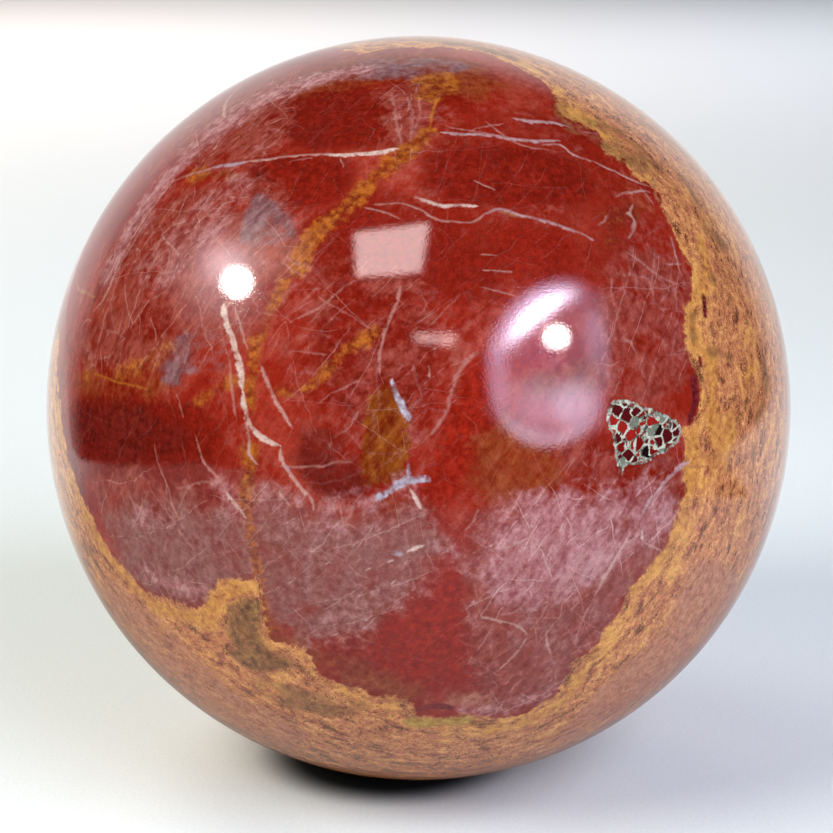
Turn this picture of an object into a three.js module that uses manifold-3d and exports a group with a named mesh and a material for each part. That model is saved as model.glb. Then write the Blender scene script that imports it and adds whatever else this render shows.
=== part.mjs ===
// A polished ball of red jasper, cut and ground from one lump of stone.
// A small round patch underneath is ground flat, so that the ball stands by itself.
// Millimetres, +Z up. The origin is the middle of that flat patch.

import * as THREE from 'three';
import { mergeVertices } from 'three/addons/utils/BufferGeometryUtils.js';
import Module from 'manifold-3d';

// Driving dimensions
const BALL_DIAMETER = 120;
const FOOT_DIAMETER = 18;

// Each of the icosahedron's 30 edges is parted into this many steps.
// An even number puts a corner exactly on all six axes, so the ball is true to its diameter along them.
const STEPS_PER_EDGE = 16;

// How far the grinding block reaches past the ball on every side
const GRINDING_MARGIN = 4;

// The stone as seen from a step away
const JASPER_RED = 0x96392f;
const POLISH_ROUGHNESS = 0.08;

// Worked out from the driving dimensions
const ballRadius = BALL_DIAMETER / 2;
const footRadius = FOOT_DIAMETER / 2;
const centreHeight = Math.sqrt( ballRadius ** 2 - footRadius ** 2 );

const wasm = await Module();
wasm.setup();

// A closed three.js geometry as a solid that can be cut.
function solidFrom( geometry ) {

	const bare = geometry.clone();
	bare.deleteAttribute( 'normal' );
	bare.deleteAttribute( 'uv' );
	const merged = mergeVertices( bare );
	const corners = Array.from( { length: merged.attributes.position.count }, ( _, i ) => i );
	const faces = merged.index ? merged.index.array : corners;

	return new wasm.Manifold( new wasm.Mesh( {
		numProp: 3,
		vertProperties: new Float32Array( merged.attributes.position.array ),
		triVerts: new Uint32Array( faces ),
	} ) );

}

// A cut solid back as a three.js geometry with flat facets.
function geometryFrom( solid ) {

	const mesh = solid.getMesh();
	const geometry = new THREE.BufferGeometry();
	geometry.setAttribute( 'position', new THREE.BufferAttribute( mesh.vertProperties, 3 ) );
	geometry.setIndex( new THREE.BufferAttribute( mesh.triVerts, 1 ) );
	geometry.computeVertexNormals();
	return geometry;

}

// The round ball, lifted so that its ground foot will lie at z = 0.
function roundBall() {

	const ball = new THREE.IcosahedronGeometry( ballRadius, STEPS_PER_EDGE - 1 );
	ball.translate( 0, 0, centreHeight );
	return ball;

}

// The block whose top face, at z = 0, grinds the foot flat.
function grindingBlock() {

	const side = BALL_DIAMETER + 2 * GRINDING_MARGIN;
	const depth = ballRadius + GRINDING_MARGIN;
	const block = new THREE.BoxGeometry( side, side, depth );
	block.translate( 0, 0, - depth / 2 );
	return block;

}

// The stone itself, one solid all through.
function jasperBall() {

	const ground = solidFrom( roundBall() ).subtract( solidFrom( grindingBlock() ) );
	const polishedJasper = new THREE.MeshStandardMaterial( {
		color: JASPER_RED,
		roughness: POLISH_ROUGHNESS,
		metalness: 0,
		flatShading: true,
	} );
	const stone = new THREE.Mesh( geometryFrom( ground ), polishedJasper );
	stone.name = 'jasper_ball';
	return stone;

}

const group = new THREE.Group();
group.add( jasperBall() );

export default group;
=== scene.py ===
"""A polished ball of red jasper on a white table, seen from the front and a little above.

The stone is one piece: a red core with ochre, milk-white and lilac veins, in a fibrous tan rind.
Lengths are in millimetres, measured from the ball's centre, until Blender takes them in metres.
Places on the side that the photograph shows are named by its pixels, in a frame of 833 by 833.
"""

from __future__ import annotations

import logging
import math
from dataclasses import dataclass, field
from enum import Enum

import bpy
import numpy as np
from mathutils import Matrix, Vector

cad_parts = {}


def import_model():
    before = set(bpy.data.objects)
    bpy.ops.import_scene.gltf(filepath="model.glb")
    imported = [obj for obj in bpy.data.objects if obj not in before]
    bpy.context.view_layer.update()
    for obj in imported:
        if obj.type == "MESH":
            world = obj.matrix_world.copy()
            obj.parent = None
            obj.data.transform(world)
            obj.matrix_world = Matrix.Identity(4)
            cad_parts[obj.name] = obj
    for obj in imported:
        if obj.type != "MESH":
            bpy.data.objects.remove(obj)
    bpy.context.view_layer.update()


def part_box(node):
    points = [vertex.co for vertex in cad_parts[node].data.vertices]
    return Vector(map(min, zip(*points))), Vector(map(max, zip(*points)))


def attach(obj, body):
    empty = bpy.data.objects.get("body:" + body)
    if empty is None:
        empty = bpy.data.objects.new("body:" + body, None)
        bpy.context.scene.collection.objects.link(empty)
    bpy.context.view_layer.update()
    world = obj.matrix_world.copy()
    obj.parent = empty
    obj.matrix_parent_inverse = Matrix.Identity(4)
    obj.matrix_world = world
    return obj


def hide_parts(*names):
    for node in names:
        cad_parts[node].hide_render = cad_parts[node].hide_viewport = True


log = logging.getLogger("jasper_ball")

Points = tuple[tuple[float, float], ...]
MM = 0.001


def linear(colour: str) -> tuple[float, float, float, float]:
    """Turn an sRGB hex colour into the linear one that a shader takes.

    Args:
        colour: Six hex digits after a hash sign.

    Returns:
        Red, green, blue and an alpha of 1.
    """
    parts = [int(colour[i:i + 2], 16) / 255 for i in (1, 3, 5)]
    red, green, blue = [c / 12.92 if c <= 0.04045 else ((c + 0.055) / 1.055) ** 2.4 for c in parts]
    return red, green, blue, 1.0


def unit(vectors: np.ndarray) -> np.ndarray:
    """Scale each row to a length of one."""
    return vectors / np.linalg.norm(vectors, axis=-1, keepdims=True)


@dataclass(frozen=True)
class PhotoView:
    """The camera of the photograph, and what each of its pixels shows of the ball."""

    ball_radius: float
    centre_height: float
    frame_px: float = 833.0
    lens_mm: float = 100.0
    sensor_mm: float = 36.0
    elevation: float = math.radians(14)
    ball_x_px: float = 418.5
    ball_y_px: float = 408.2
    ball_radius_px: float = 372.1

    @property
    def focal_px(self) -> float:
        """The focal length in pixels."""
        return self.lens_mm / self.sensor_mm * self.frame_px

    @property
    def pitch(self) -> float:
        """How far the camera itself looks down, so that the ball lands on its pixel."""
        middle = self.frame_px / 2
        right = (self.ball_x_px - middle) / self.focal_px
        up = (middle - self.ball_y_px) / self.focal_px
        length = math.sqrt(1 + right * right + up * up)
        return math.atan(up) + math.asin(math.sin(self.elevation) * length / math.hypot(1, up))

    def rays(self, pixels: np.ndarray) -> np.ndarray:
        """Give the direction in which each pixel looks.

        Args:
            pixels: Rows of x and y.

        Returns:
            Rows of unit vectors.
        """
        middle = self.frame_px / 2
        forward = np.array([0.0, math.cos(self.pitch), -math.sin(self.pitch)])
        up = np.array([0.0, math.sin(self.pitch), math.cos(self.pitch)])
        right = np.array([1.0, 0.0, 0.0])
        across = (pixels[:, :1] - middle) / self.focal_px
        down = (pixels[:, 1:] - middle) / self.focal_px
        return unit(across * right - down * up + forward)

    @property
    def eye(self) -> np.ndarray:
        """Where the camera stands, measured from the ball's centre."""
        distance = self.ball_radius / math.sin(math.atan(self.ball_radius_px / self.focal_px))
        return -distance * self.rays(np.array([[self.ball_x_px, self.ball_y_px]]))[0]

    def normals(self, pixels: Points | np.ndarray) -> np.ndarray:
        """Find the ball's surface at each pixel. A pixel off the ball gives its nearest limb.

        Args:
            pixels: Pairs of x and y.

        Returns:
            Unit vectors from the ball's centre.
        """
        rays = self.rays(np.asarray(pixels, float))
        along = rays @ self.eye
        inside = along ** 2 - (self.eye @ self.eye - self.ball_radius ** 2)
        hit = -along - np.sqrt(np.maximum(inside, 0.0))
        return unit(self.eye + hit[:, None] * rays)

    def mirrored(self, pixels: np.ndarray, distance: float) -> np.ndarray:
        """Find what the polished ball mirrors at each pixel.

        Args:
            pixels: Rows of x and y.
            distance: How far from the surface the mirrored thing is.

        Returns:
            Rows of points, measured from the ball's centre.
        """
        normals = self.normals(pixels)
        rays = self.rays(np.asarray(pixels, float))
        away = rays - 2 * np.sum(rays * normals, axis=1, keepdims=True) * normals
        return normals * self.ball_radius + away * distance

    def place_camera(self) -> None:
        """Add the camera and make it the scene's."""
        place = (self.eye + np.array([0.0, 0.0, self.centre_height])) * MM
        turn = (math.pi / 2 - self.pitch, 0.0, 0.0)
        bpy.ops.object.camera_add(location=tuple(place), rotation=turn)
        camera = bpy.context.object
        camera.data.lens = self.lens_mm
        camera.data.sensor_width = self.sensor_mm
        camera.data.clip_start = 0.01
        bpy.context.scene.camera = camera


def compass(places: Points) -> np.ndarray:
    """Turn places on the hidden side into unit vectors.

    Args:
        places: Pairs of degrees: round from the front towards the right, and up from level.

    Returns:
        Rows of unit vectors.
    """
    round_, up = np.radians(np.asarray(places, float)).T
    return np.stack([np.sin(round_) * np.cos(up), -np.cos(round_) * np.cos(up), np.sin(up)], axis=1)


def smooth_course(corners: np.ndarray, radius: float, closed: bool, step: float = 0.9) -> np.ndarray:
    """Draw a smooth line over the ball through a few corners.

    Args:
        corners: Rows of unit vectors.
        radius: The ball's radius.
        closed: Whether the line runs back to its start.
        step: The spacing of the line's points.

    Returns:
        Rows of points on the ball.
    """
    count = len(corners)
    made = []
    for i in range(count if closed else count - 1):
        if closed:
            before, start, end, after = (corners[(i + k) % count] for k in (-1, 0, 1, 2))
        else:
            start, end = corners[i], corners[i + 1]
            before = corners[i - 1] if i else 2 * start - end
            after = corners[i + 2] if i + 2 < count else 2 * end - start
        parts = max(1, round(np.linalg.norm(end - start) * radius / step))
        t = (np.arange(parts) / parts)[:, None]
        made.append(0.5 * (2 * start + (end - before) * t + (2 * before - 5 * start + 4 * end - after) * t ** 2
                           + (3 * start - before - 3 * end + after) * t ** 3))
    made.append(corners[:1] if closed else corners[-1:])
    return unit(np.concatenate(made)) * radius


@dataclass
class Nearest:
    """The nearest place of a course to each of some points."""

    distance: np.ndarray
    side: np.ndarray
    along: np.ndarray
    beyond: np.ndarray


def nearest_on(course: np.ndarray, points: np.ndarray, batch: int = 8192) -> Nearest:
    """Measure points against a course on the ball.

    Args:
        course: Rows of points in order.
        points: Rows of points to measure.
        batch: How many are measured at a time.

    Returns:
        The distance to the course, the distance to its left or right, with its ends drawn on straight,
        the length along it from its start, and how far past an end a point lies.
    """
    starts, steps = course[:-1], np.diff(course, axis=0)
    lengths = np.linalg.norm(steps, axis=1)
    passed = np.concatenate([[0.0], np.cumsum(lengths)])
    result = Nearest(*(np.zeros(len(points)) for _ in range(4)))
    for low in range(0, len(points), batch):
        some = points[low:low + batch]
        part = (some @ steps.T - np.sum(starts * steps, axis=1)) / lengths ** 2
        held = np.clip(part, 0, 1)
        gap = (np.sum(some ** 2, axis=1)[:, None] + np.sum(starts ** 2, axis=1) - 2 * some @ starts.T
               - 2 * held * part * lengths ** 2 + (held * lengths) ** 2)
        best = np.argmin(gap, axis=1)
        rows = np.arange(len(some))
        here, true_part = held[rows, best], part[rows, best]
        foot = starts[best] + here[:, None] * steps[best]
        off = some - foot
        heading = steps[best] / lengths[best][:, None]
        end = ((best == 0) & (true_part < 0)) | ((best == len(steps) - 1) & (true_part > 1))
        over = np.where(end, np.abs(true_part - here) * lengths[best], 0.0)
        lateral = off - np.sum(off * heading, axis=1)[:, None] * heading
        turn = np.sum(np.cross(heading, off) * some, axis=1)
        window = slice(low, low + batch)
        result.distance[window] = np.linalg.norm(off, axis=1)
        result.side[window] = np.linalg.norm(lateral, axis=1) * np.where(turn < 0, -1.0, 1.0)
        result.along[window] = passed[best] + here * lengths[best]
        result.beyond[window] = over
    return result


def inside(outline: np.ndarray, points: np.ndarray, batch: int = 8192) -> np.ndarray:
    """Tell which points on the ball lie inside a closed outline, seen from its middle.

    Args:
        outline: Rows of points of the closed line, the last one equal to the first.
        points: Rows of points to test.
        batch: How many are tested at a time.

    Returns:
        One true or false for each point.
    """
    middle = unit(outline.mean(axis=0))
    helper = np.array([0.0, 0.0, 1.0]) if abs(middle[2]) < 0.9 else np.array([1.0, 0.0, 0.0])
    east = unit(np.cross(helper, middle))
    north = np.cross(middle, east)

    def flat(places: np.ndarray) -> np.ndarray:
        """Spread the ball on a plane, with the point opposite the middle at infinity."""
        directions = unit(places)
        scale = 1.0 / np.maximum(1.0 + directions @ middle, 1e-6)
        return np.stack([directions @ east * scale, directions @ north * scale], axis=1)

    (x0, y0), (x1, y1) = flat(outline[:-1]).T, flat(outline[1:]).T
    slope = (x1 - x0) / np.where(y1 == y0, 1e-12, y1 - y0)
    result = np.zeros(len(points), bool)
    for low in range(0, len(points), batch):
        x, y = flat(points[low:low + batch]).T[:, :, None]
        crossed = ((y0 > y) != (y1 > y)) & (x < x0 + (y - y0) * slope)
        result[low:low + batch] = crossed.sum(axis=1) % 2 == 1
    return result


class Tone(Enum):
    """The colours that veins come in, by their place on the veins' colour ramp."""

    MILK = 0
    CREAM = 1
    PINK = 2
    LILAC = 3
    BLUE_GREY = 4
    ORANGE = 5
    TAN = 6
    DARK = 7


@dataclass(frozen=True)
class Vein:
    """A thin vein: its tone, its widest width, how solid it is, and the pixels that it runs through."""

    tone: Tone
    width: float
    strength: float
    pixels: Points


@dataclass(frozen=True)
class Paint:
    """How one mineral looks, and in millimetres how softly its edge fades and how far it strays.

    A mineral that isn't solid lets the ones below it through between its own grains.
    """

    dark: str
    light: str
    edge: float
    stray: float
    over_rind: bool = False
    streaked: bool = False
    solid: float = 1.0


class Mineral(Enum):
    """The minerals of the stone, in the order in which each covers the ones before it."""

    BRIGHT = Paint("#76140a", "#8d2013", 2.4, 4.4)
    DEEP = Paint("#64120a", "#7b1a10", 2.6, 4.4)
    MAROON = Paint("#4c0f0b", "#6b1c16", 3.2, 5.6)
    BROWN = Paint("#6c2010", "#8c4422", 3.4, 7.0, streaked=True, solid=0.6)
    MAUVE = Paint("#6e1e15", "#97473b", 2.8, 6.5, streaked=True)
    OLIVE = Paint("#5a1206", "#8e4c18", 0.9, 3.2, streaked=True, solid=0.75)
    LILAC = Paint("#5f3134", "#8a6264", 1.4, 2.6, streaked=True)
    SMOKE = Paint("#74403a", "#865650", 6.0, 7.5, solid=0.55)
    VEIL = Paint("#8a4143", "#bb8484", 4.0, 6.0, streaked=True, solid=0.6)
    OCHRE = Paint("#66210a", "#a4591f", 1.4, 3.2, solid=0.7)
    BLUE_GREY = Paint("#8a6f76", "#a89da8", 0.4, 0.8)
    RIND_PINK = Paint("#9a5b48", "#b0735a", 3.0, 2.4, True)
    RIND_OCHRE = Paint("#a3602f", "#c68742", 1.8, 3.4, True, solid=0.75)
    RIND_BROWN = Paint("#52301b", "#875b36", 1.4, 3.2, True, solid=0.7)
    RIND_MAROON = Paint("#4a1214", "#752224", 0.35, 0.9, True)
    RIND_YELLOW = Paint("#8d642a", "#b08a40", 1.4, 2.0, True)
    POCKET = Paint("#5a0f10", "#7a1715", 0.2, 0.5, True)


@dataclass(frozen=True)
class Patch:
    """A stretch of one mineral: a closed outline, or a band with a width in millimetres.

    Its places are pixels of the photograph or, on the hidden side, degrees round and up. Its strength
    runs from 0, a trace, to 1, solid.
    """

    mineral: Mineral
    places: Points
    band: float = 0.0
    strength: float = 1.0
    hidden: bool = False


@dataclass(frozen=True)
class CoreOutline:
    """Where the red core ends and the tan rind begins: round the front, and over the hidden back."""

    right: Points = ((470, 50), (497, 58), (522, 70), (545, 84), (555, 98), (561, 113), (599, 137),
                     (607, 153), (626, 158), (633, 173), (657, 192), (664, 211), (676, 230), (681, 249),
                     (692, 270), (695, 290), (683, 316), (688, 339), (690, 361), (700, 387), (700, 403),
                     (690, 421), (681, 430), (685, 442), (683, 477), (683, 499), (675, 525), (661, 558))
    bottom: Points = ((640, 579), (626, 596), (613, 620), (599, 641), (573, 663), (559, 692), (522, 714),
                      (497, 720), (462, 717), (416, 713), (414, 701), (393, 699), (373, 696), (350, 684),
                      (324, 674), (307, 656), (290, 644), (271, 643), (266, 627), (261, 596), (259, 579))
    left: Points = ((242, 579), (218, 586), (211, 600), (202, 610), (181, 603), (166, 594), (150, 594),
                    (133, 579), (113, 558), (101, 536), (91, 515), (74, 477), (65, 442), (61, 408),
                    (57, 370), (59, 330))
    behind: Points = ((-104, 14), (-118, 10), (-134, 22), (-146, 41), (-150, 58), (-132, 70), (-118, 74))
    top: Points = ((352, 53), (390, 49), (430, 48))
    island: Points = ((118, 20), (140, 30), (160, 22), (176, 8), (174, -14), (158, -28), (138, -24),
                      (124, -12), (112, 2))


@dataclass(frozen=True)
class FrontPatches:
    """The larger stretches of colour on the side that the photograph shows."""

    reds: tuple[Patch, ...] = (
        Patch(Mineral.DEEP, ((252, 160), (345, 158), (350, 196), (300, 212), (262, 204))),
        Patch(Mineral.DEEP, ((290, 100), (340, 84), (380, 94), (402, 124), (370, 147), (300, 149), (284, 124))),
        Patch(Mineral.BRIGHT, ((304, 116), (336, 108), (362, 118), (352, 143), (314, 146)), strength=0.35),
        Patch(Mineral.DEEP, (
            (430, 150), (520, 110), (600, 160), (640, 240), (640, 320), (560, 300), (470, 260), (430, 210)),
            strength=0.5),
        Patch(Mineral.DEEP, ((300, 230), (380, 190), (470, 240), (500, 300), (420, 300), (340, 300)), strength=0.6),
        Patch(Mineral.BRIGHT, (
            (441, 440), (447, 400), (465, 370), (496, 352), (488, 410), (476, 450), (446, 505), (416, 494))),
        Patch(Mineral.DEEP, ((436, 148), (556, 150), (600, 190), (560, 208), (470, 206), (430, 190)), strength=0.8),
        Patch(Mineral.BRIGHT, ((500, 232), (566, 236), (570, 282), (520, 290)), strength=0.7),
        Patch(Mineral.BRIGHT, (
            (420, 500), (446, 520), (470, 590), (476, 680), (420, 690), (370, 660), (390, 590)), strength=0.7),
        Patch(Mineral.DEEP, ((330, 290), (390, 280), (436, 330), (424, 400), (360, 424), (316, 370)), strength=0.66),
        Patch(Mineral.BRIGHT, ((300, 580), (350, 610), (366, 640), (330, 620), (296, 600)), strength=0.5))
    darks: tuple[Patch, ...] = (
        Patch(Mineral.DEEP, (
            (72, 404), (100, 388), (150, 394), (204, 408), (222, 436), (206, 470), (150, 480), (96, 478), (70, 450))),
        Patch(Mineral.MAROON, ((78, 410), (110, 400), (150, 412), (190, 444), (140, 460), (84, 452)), strength=0.6),
        Patch(Mineral.MAROON, (
            (300, 436), (330, 428), (356, 456), (370, 484), (340, 500), (306, 484)), strength=0.62),
        Patch(Mineral.MAROON, ((254, 168), (262, 176), (260, 200), (254, 204)), strength=0.6),
        Patch(Mineral.MAROON, ((296, 92), (350, 92), (352, 126), (300, 128)), strength=0.4),
        Patch(Mineral.MAROON, ((614, 214), (640, 222), (656, 262), (636, 282), (616, 254)), strength=0.4),
        Patch(Mineral.MAROON, ((292, 125), (322, 124), (326, 143), (294, 144)), strength=0.45),
        Patch(Mineral.MAROON, ((138, 218), (130, 234), (110, 266), (101, 285)), band=1.3, strength=0.75),
        Patch(Mineral.MAROON, ((146, 208), (128, 238), (112, 268)), band=0.7, strength=0.7),
        Patch(Mineral.MAROON, ((194, 226), (198, 219)), band=0.8, strength=0.8),
        Patch(Mineral.MAROON, ((395, 420), (393, 424)), band=0.9, strength=0.9),
        Patch(Mineral.MAROON, ((388, 456), (386, 468)), band=0.7, strength=0.9),
        Patch(Mineral.MAROON, ((374, 472), (375, 478)), band=0.9, strength=0.9))
    browns: tuple[Patch, ...] = (
        Patch(Mineral.BROWN, (
            (478, 430), (530, 424), (556, 450), (560, 486), (520, 506), (480, 496)), strength=0.75),
        Patch(Mineral.BROWN, ((384, 496), (407, 500), (404, 520), (380, 514)), strength=0.7),
        Patch(Mineral.BROWN, (
            (262, 620), (300, 640), (360, 664), (420, 690), (410, 700), (340, 680), (276, 648)), strength=0.6),
        Patch(Mineral.BROWN, ((280, 92), (330, 64), (410, 54), (480, 64), (500, 90), (450, 96), (380, 82), (310, 96)),
              strength=0.75),
        Patch(Mineral.BROWN, ((226, 604), (262, 596), (290, 640), (300, 680), (250, 668)), strength=0.75),
        Patch(Mineral.BROWN, ((530, 376), (576, 362), (604, 350), (606, 380), (572, 396), (536, 396)),
              strength=0.6),
        Patch(Mineral.BROWN, ((141, 345), (168, 342), (172, 366), (146, 372)), strength=0.7),
        Patch(Mineral.BROWN, ((70, 380), (110, 376), (170, 384), (150, 396), (90, 396)), strength=0.6),
        Patch(Mineral.BROWN, ((596, 170), (640, 200), (650, 260), (620, 250), (600, 210)), strength=0.3))
    mauves: tuple[Patch, ...] = (
        Patch(Mineral.MAUVE, (
            (466, 560), (500, 500), (610, 486), (676, 470), (676, 520), (640, 576), (600, 636), (556, 690),
            (500, 712), (476, 680)), strength=0.85),
        Patch(Mineral.MAUVE, ((250, 490), (330, 505), (440, 530), (400, 600), (350, 640), (262, 600)), strength=0.7),
        Patch(Mineral.MAUVE, (
            (100, 480), (160, 480), (240, 520), (246, 576), (200, 596), (150, 588), (110, 540)), strength=0.55),
        Patch(Mineral.MAUVE, (
            (90, 300), (150, 220), (240, 175), (290, 220), (290, 290), (240, 340), (150, 366), (84, 360)),
            strength=0.6),
        Patch(Mineral.MAUVE, ((290, 270), (380, 270), (440, 310), (450, 400), (380, 450), (300, 420)), strength=0.42),
        Patch(Mineral.MAUVE, ((560, 440), (640, 470), (690, 440), (684, 480), (600, 500)), strength=0.5),
        Patch(Mineral.MAUVE, ((600, 300), (640, 250), (690, 290), (684, 380), (640, 400), (606, 380)), strength=0.6),
        Patch(Mineral.MAUVE, ((385, 90), (424, 84), (430, 146), (392, 148)), strength=0.7),
        Patch(Mineral.MAUVE, (
            (180, 120), (240, 84), (290, 74), (284, 130), (252, 160), (190, 170)), strength=0.6))
    veils: tuple[Patch, ...] = (
        Patch(Mineral.VEIL, ((484, 536), (528, 500), (590, 498), (612, 540), (580, 592), (500, 600)), strength=0.8),
        Patch(Mineral.VEIL, ((596, 500), (660, 484), (664, 530), (610, 566)), strength=0.6),
        Patch(Mineral.VEIL, ((226, 196), (190, 236), (160, 262)), band=6.0, strength=0.4),
        Patch(Mineral.VEIL, ((112, 268), (140, 216), (184, 160), (232, 120)), band=3.6, strength=0.6),
        Patch(Mineral.VEIL, ((206, 140), (250, 106), (300, 84), (352, 72)), band=4.0, strength=0.7),
        Patch(Mineral.VEIL, ((240, 300), (216, 326), (176, 350)), band=3.6, strength=0.24),
        Patch(Mineral.VEIL, ((190, 290), (206, 330), (200, 352)), band=2.6, strength=0.26),
        Patch(Mineral.VEIL, ((262, 500), (316, 516), (360, 514), (404, 496)), band=2.6, strength=0.4),
        Patch(Mineral.VEIL, ((328, 640), (372, 604), (440, 562)), band=2.4, strength=0.34),
        Patch(Mineral.SMOKE, (
            (260, 500), (330, 524), (412, 504), (440, 552), (384, 610), (316, 636), (266, 600)), strength=0.6),
        Patch(Mineral.SMOKE, (
            (112, 520), (184, 506), (250, 520), (252, 584), (196, 606), (140, 588)), strength=0.66),
        Patch(Mineral.SMOKE, ((560, 560), (640, 470), (680, 470), (670, 530), (620, 610), (560, 680), (520, 650)),
              strength=0.44),
        Patch(Mineral.VEIL, ((276, 566), (330, 562), (396, 550)), band=2.6, strength=0.2),
        Patch(Mineral.VEIL, ((270, 500), (292, 556), (330, 600)), band=2.4, strength=0.26),
        Patch(Mineral.VEIL, ((150, 574), (180, 588), (202, 590)), band=1.4, strength=0.7),
        Patch(Mineral.VEIL, ((470, 560), (500, 620), (540, 650)), band=3.6, strength=0.3),
        Patch(Mineral.VEIL, ((140, 518), (152, 516), (164, 518)), band=0.9, strength=0.55),
        Patch(Mineral.VEIL, ((219, 487), (231, 500), (240, 511)), band=1.3, strength=0.8),
        Patch(Mineral.VEIL, ((470, 706), (520, 704), (560, 690)), band=1.6, strength=0.45),
        Patch(Mineral.VEIL, ((661, 490), (648, 503), (637, 521)), band=1.4, strength=0.8))
    lilacs: tuple[Patch, ...] = (
        Patch(Mineral.LILAC, ((256, 196), (272, 202), (294, 226), (286, 240), (264, 247), (240, 240)), strength=0.66),
        Patch(Mineral.LILAC, ((290, 84), (340, 66), (400, 58), (470, 66), (420, 78), (350, 80)), strength=0.5),
        Patch(Mineral.LILAC, ((163, 364), (178, 362), (180, 380), (166, 384)), strength=0.7),
        Patch(Mineral.LILAC, ((173, 340), (222, 338), (226, 362), (200, 372), (176, 364)), strength=0.45),
        Patch(Mineral.LILAC, ((586, 568), (590, 578)), band=1.3, strength=0.7))
    ochres: tuple[Patch, ...] = (
        Patch(Mineral.OLIVE, (
            (374, 394), (388, 382), (399, 401), (409, 425), (408, 459), (390, 484), (366, 482), (360, 456),
            (368, 421))),
        Patch(Mineral.OLIVE, ((211, 172), (235, 171), (234, 180), (213, 181)), strength=0.55),
        Patch(Mineral.OCHRE, ((190, 172), (210, 170), (208, 178), (191, 180)), strength=0.5),
        Patch(Mineral.OCHRE, ((408, 88), (424, 74), (446, 72), (457, 82), (450, 95), (428, 100)), strength=0.6),
        Patch(Mineral.OCHRE, ((428, 130), (421, 139), (402, 156), (386, 168)), band=2.5, strength=0.9),
        Patch(Mineral.OCHRE, ((386, 168), (373, 178), (359, 196), (340, 214)), band=2.3, strength=0.75),
        Patch(Mineral.OCHRE, ((340, 214), (316, 235), (304, 252), (299, 268)), band=2.4, strength=0.95),
        Patch(Mineral.OCHRE, ((284, 284), (274, 300), (268, 322), (259, 339)), band=1.3, strength=0.8),
        Patch(Mineral.OCHRE, ((259, 339), (252, 356), (254, 373), (250, 390), (253, 410)), band=1.2, strength=0.7),
        Patch(Mineral.OCHRE, ((249, 450), (251, 466), (249, 480), (244, 504)), band=2.1),
        Patch(Mineral.OCHRE, (
            (244, 504), (248, 516), (250, 532), (252, 548), (257, 567), (262, 600), (270, 640)), band=0.9,
            strength=0.8),
        Patch(Mineral.OCHRE, (
            (66, 368), (99, 371), (125, 372), (147, 366), (161, 350), (169, 345)), band=1.5, strength=0.4),
        Patch(Mineral.OCHRE, ((199, 399), (215, 390), (231, 382)), band=1.0, strength=0.7),
        Patch(Mineral.OCHRE, (
            (276, 389), (307, 390), (326, 370), (342, 354), (359, 342), (376, 334)), band=1.1, strength=0.8),
        Patch(Mineral.OCHRE, (
            (600, 653), (586, 664), (572, 684), (558, 695), (539, 706)), band=1.0, strength=0.5))
    blues: tuple[Patch, ...] = (
        Patch(Mineral.BLUE_GREY, ((400, 402), (404, 410), (410, 418)), band=0.9, strength=0.8),
        Patch(Mineral.BLUE_GREY, ((393, 381), (394, 391), (400, 402)), band=0.6, strength=0.7),
        Patch(Mineral.BLUE_GREY, ((379, 498), (391, 490), (400, 484), (414, 480), (429, 479)), band=1.0),
        Patch(Mineral.BLUE_GREY, ((409, 463), (410, 478)), band=0.6, strength=0.7),
        Patch(Mineral.BLUE_GREY, ((394, 554), (399, 553)), band=0.9, strength=0.8),
        Patch(Mineral.BLUE_GREY, ((460, 611), (474, 602)), band=0.6, strength=0.5))
    pocket: tuple[Patch, ...] = (
        Patch(Mineral.POCKET, (
            (612, 401), (631, 401), (640, 406), (652, 409), (663, 414), (675, 420), (681, 428), (679, 440),
            (666, 452), (655, 456), (646, 464), (625, 466), (622, 477), (616, 460), (613, 438), (607, 422),
            (608, 412)), strength=3.0),)


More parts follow.
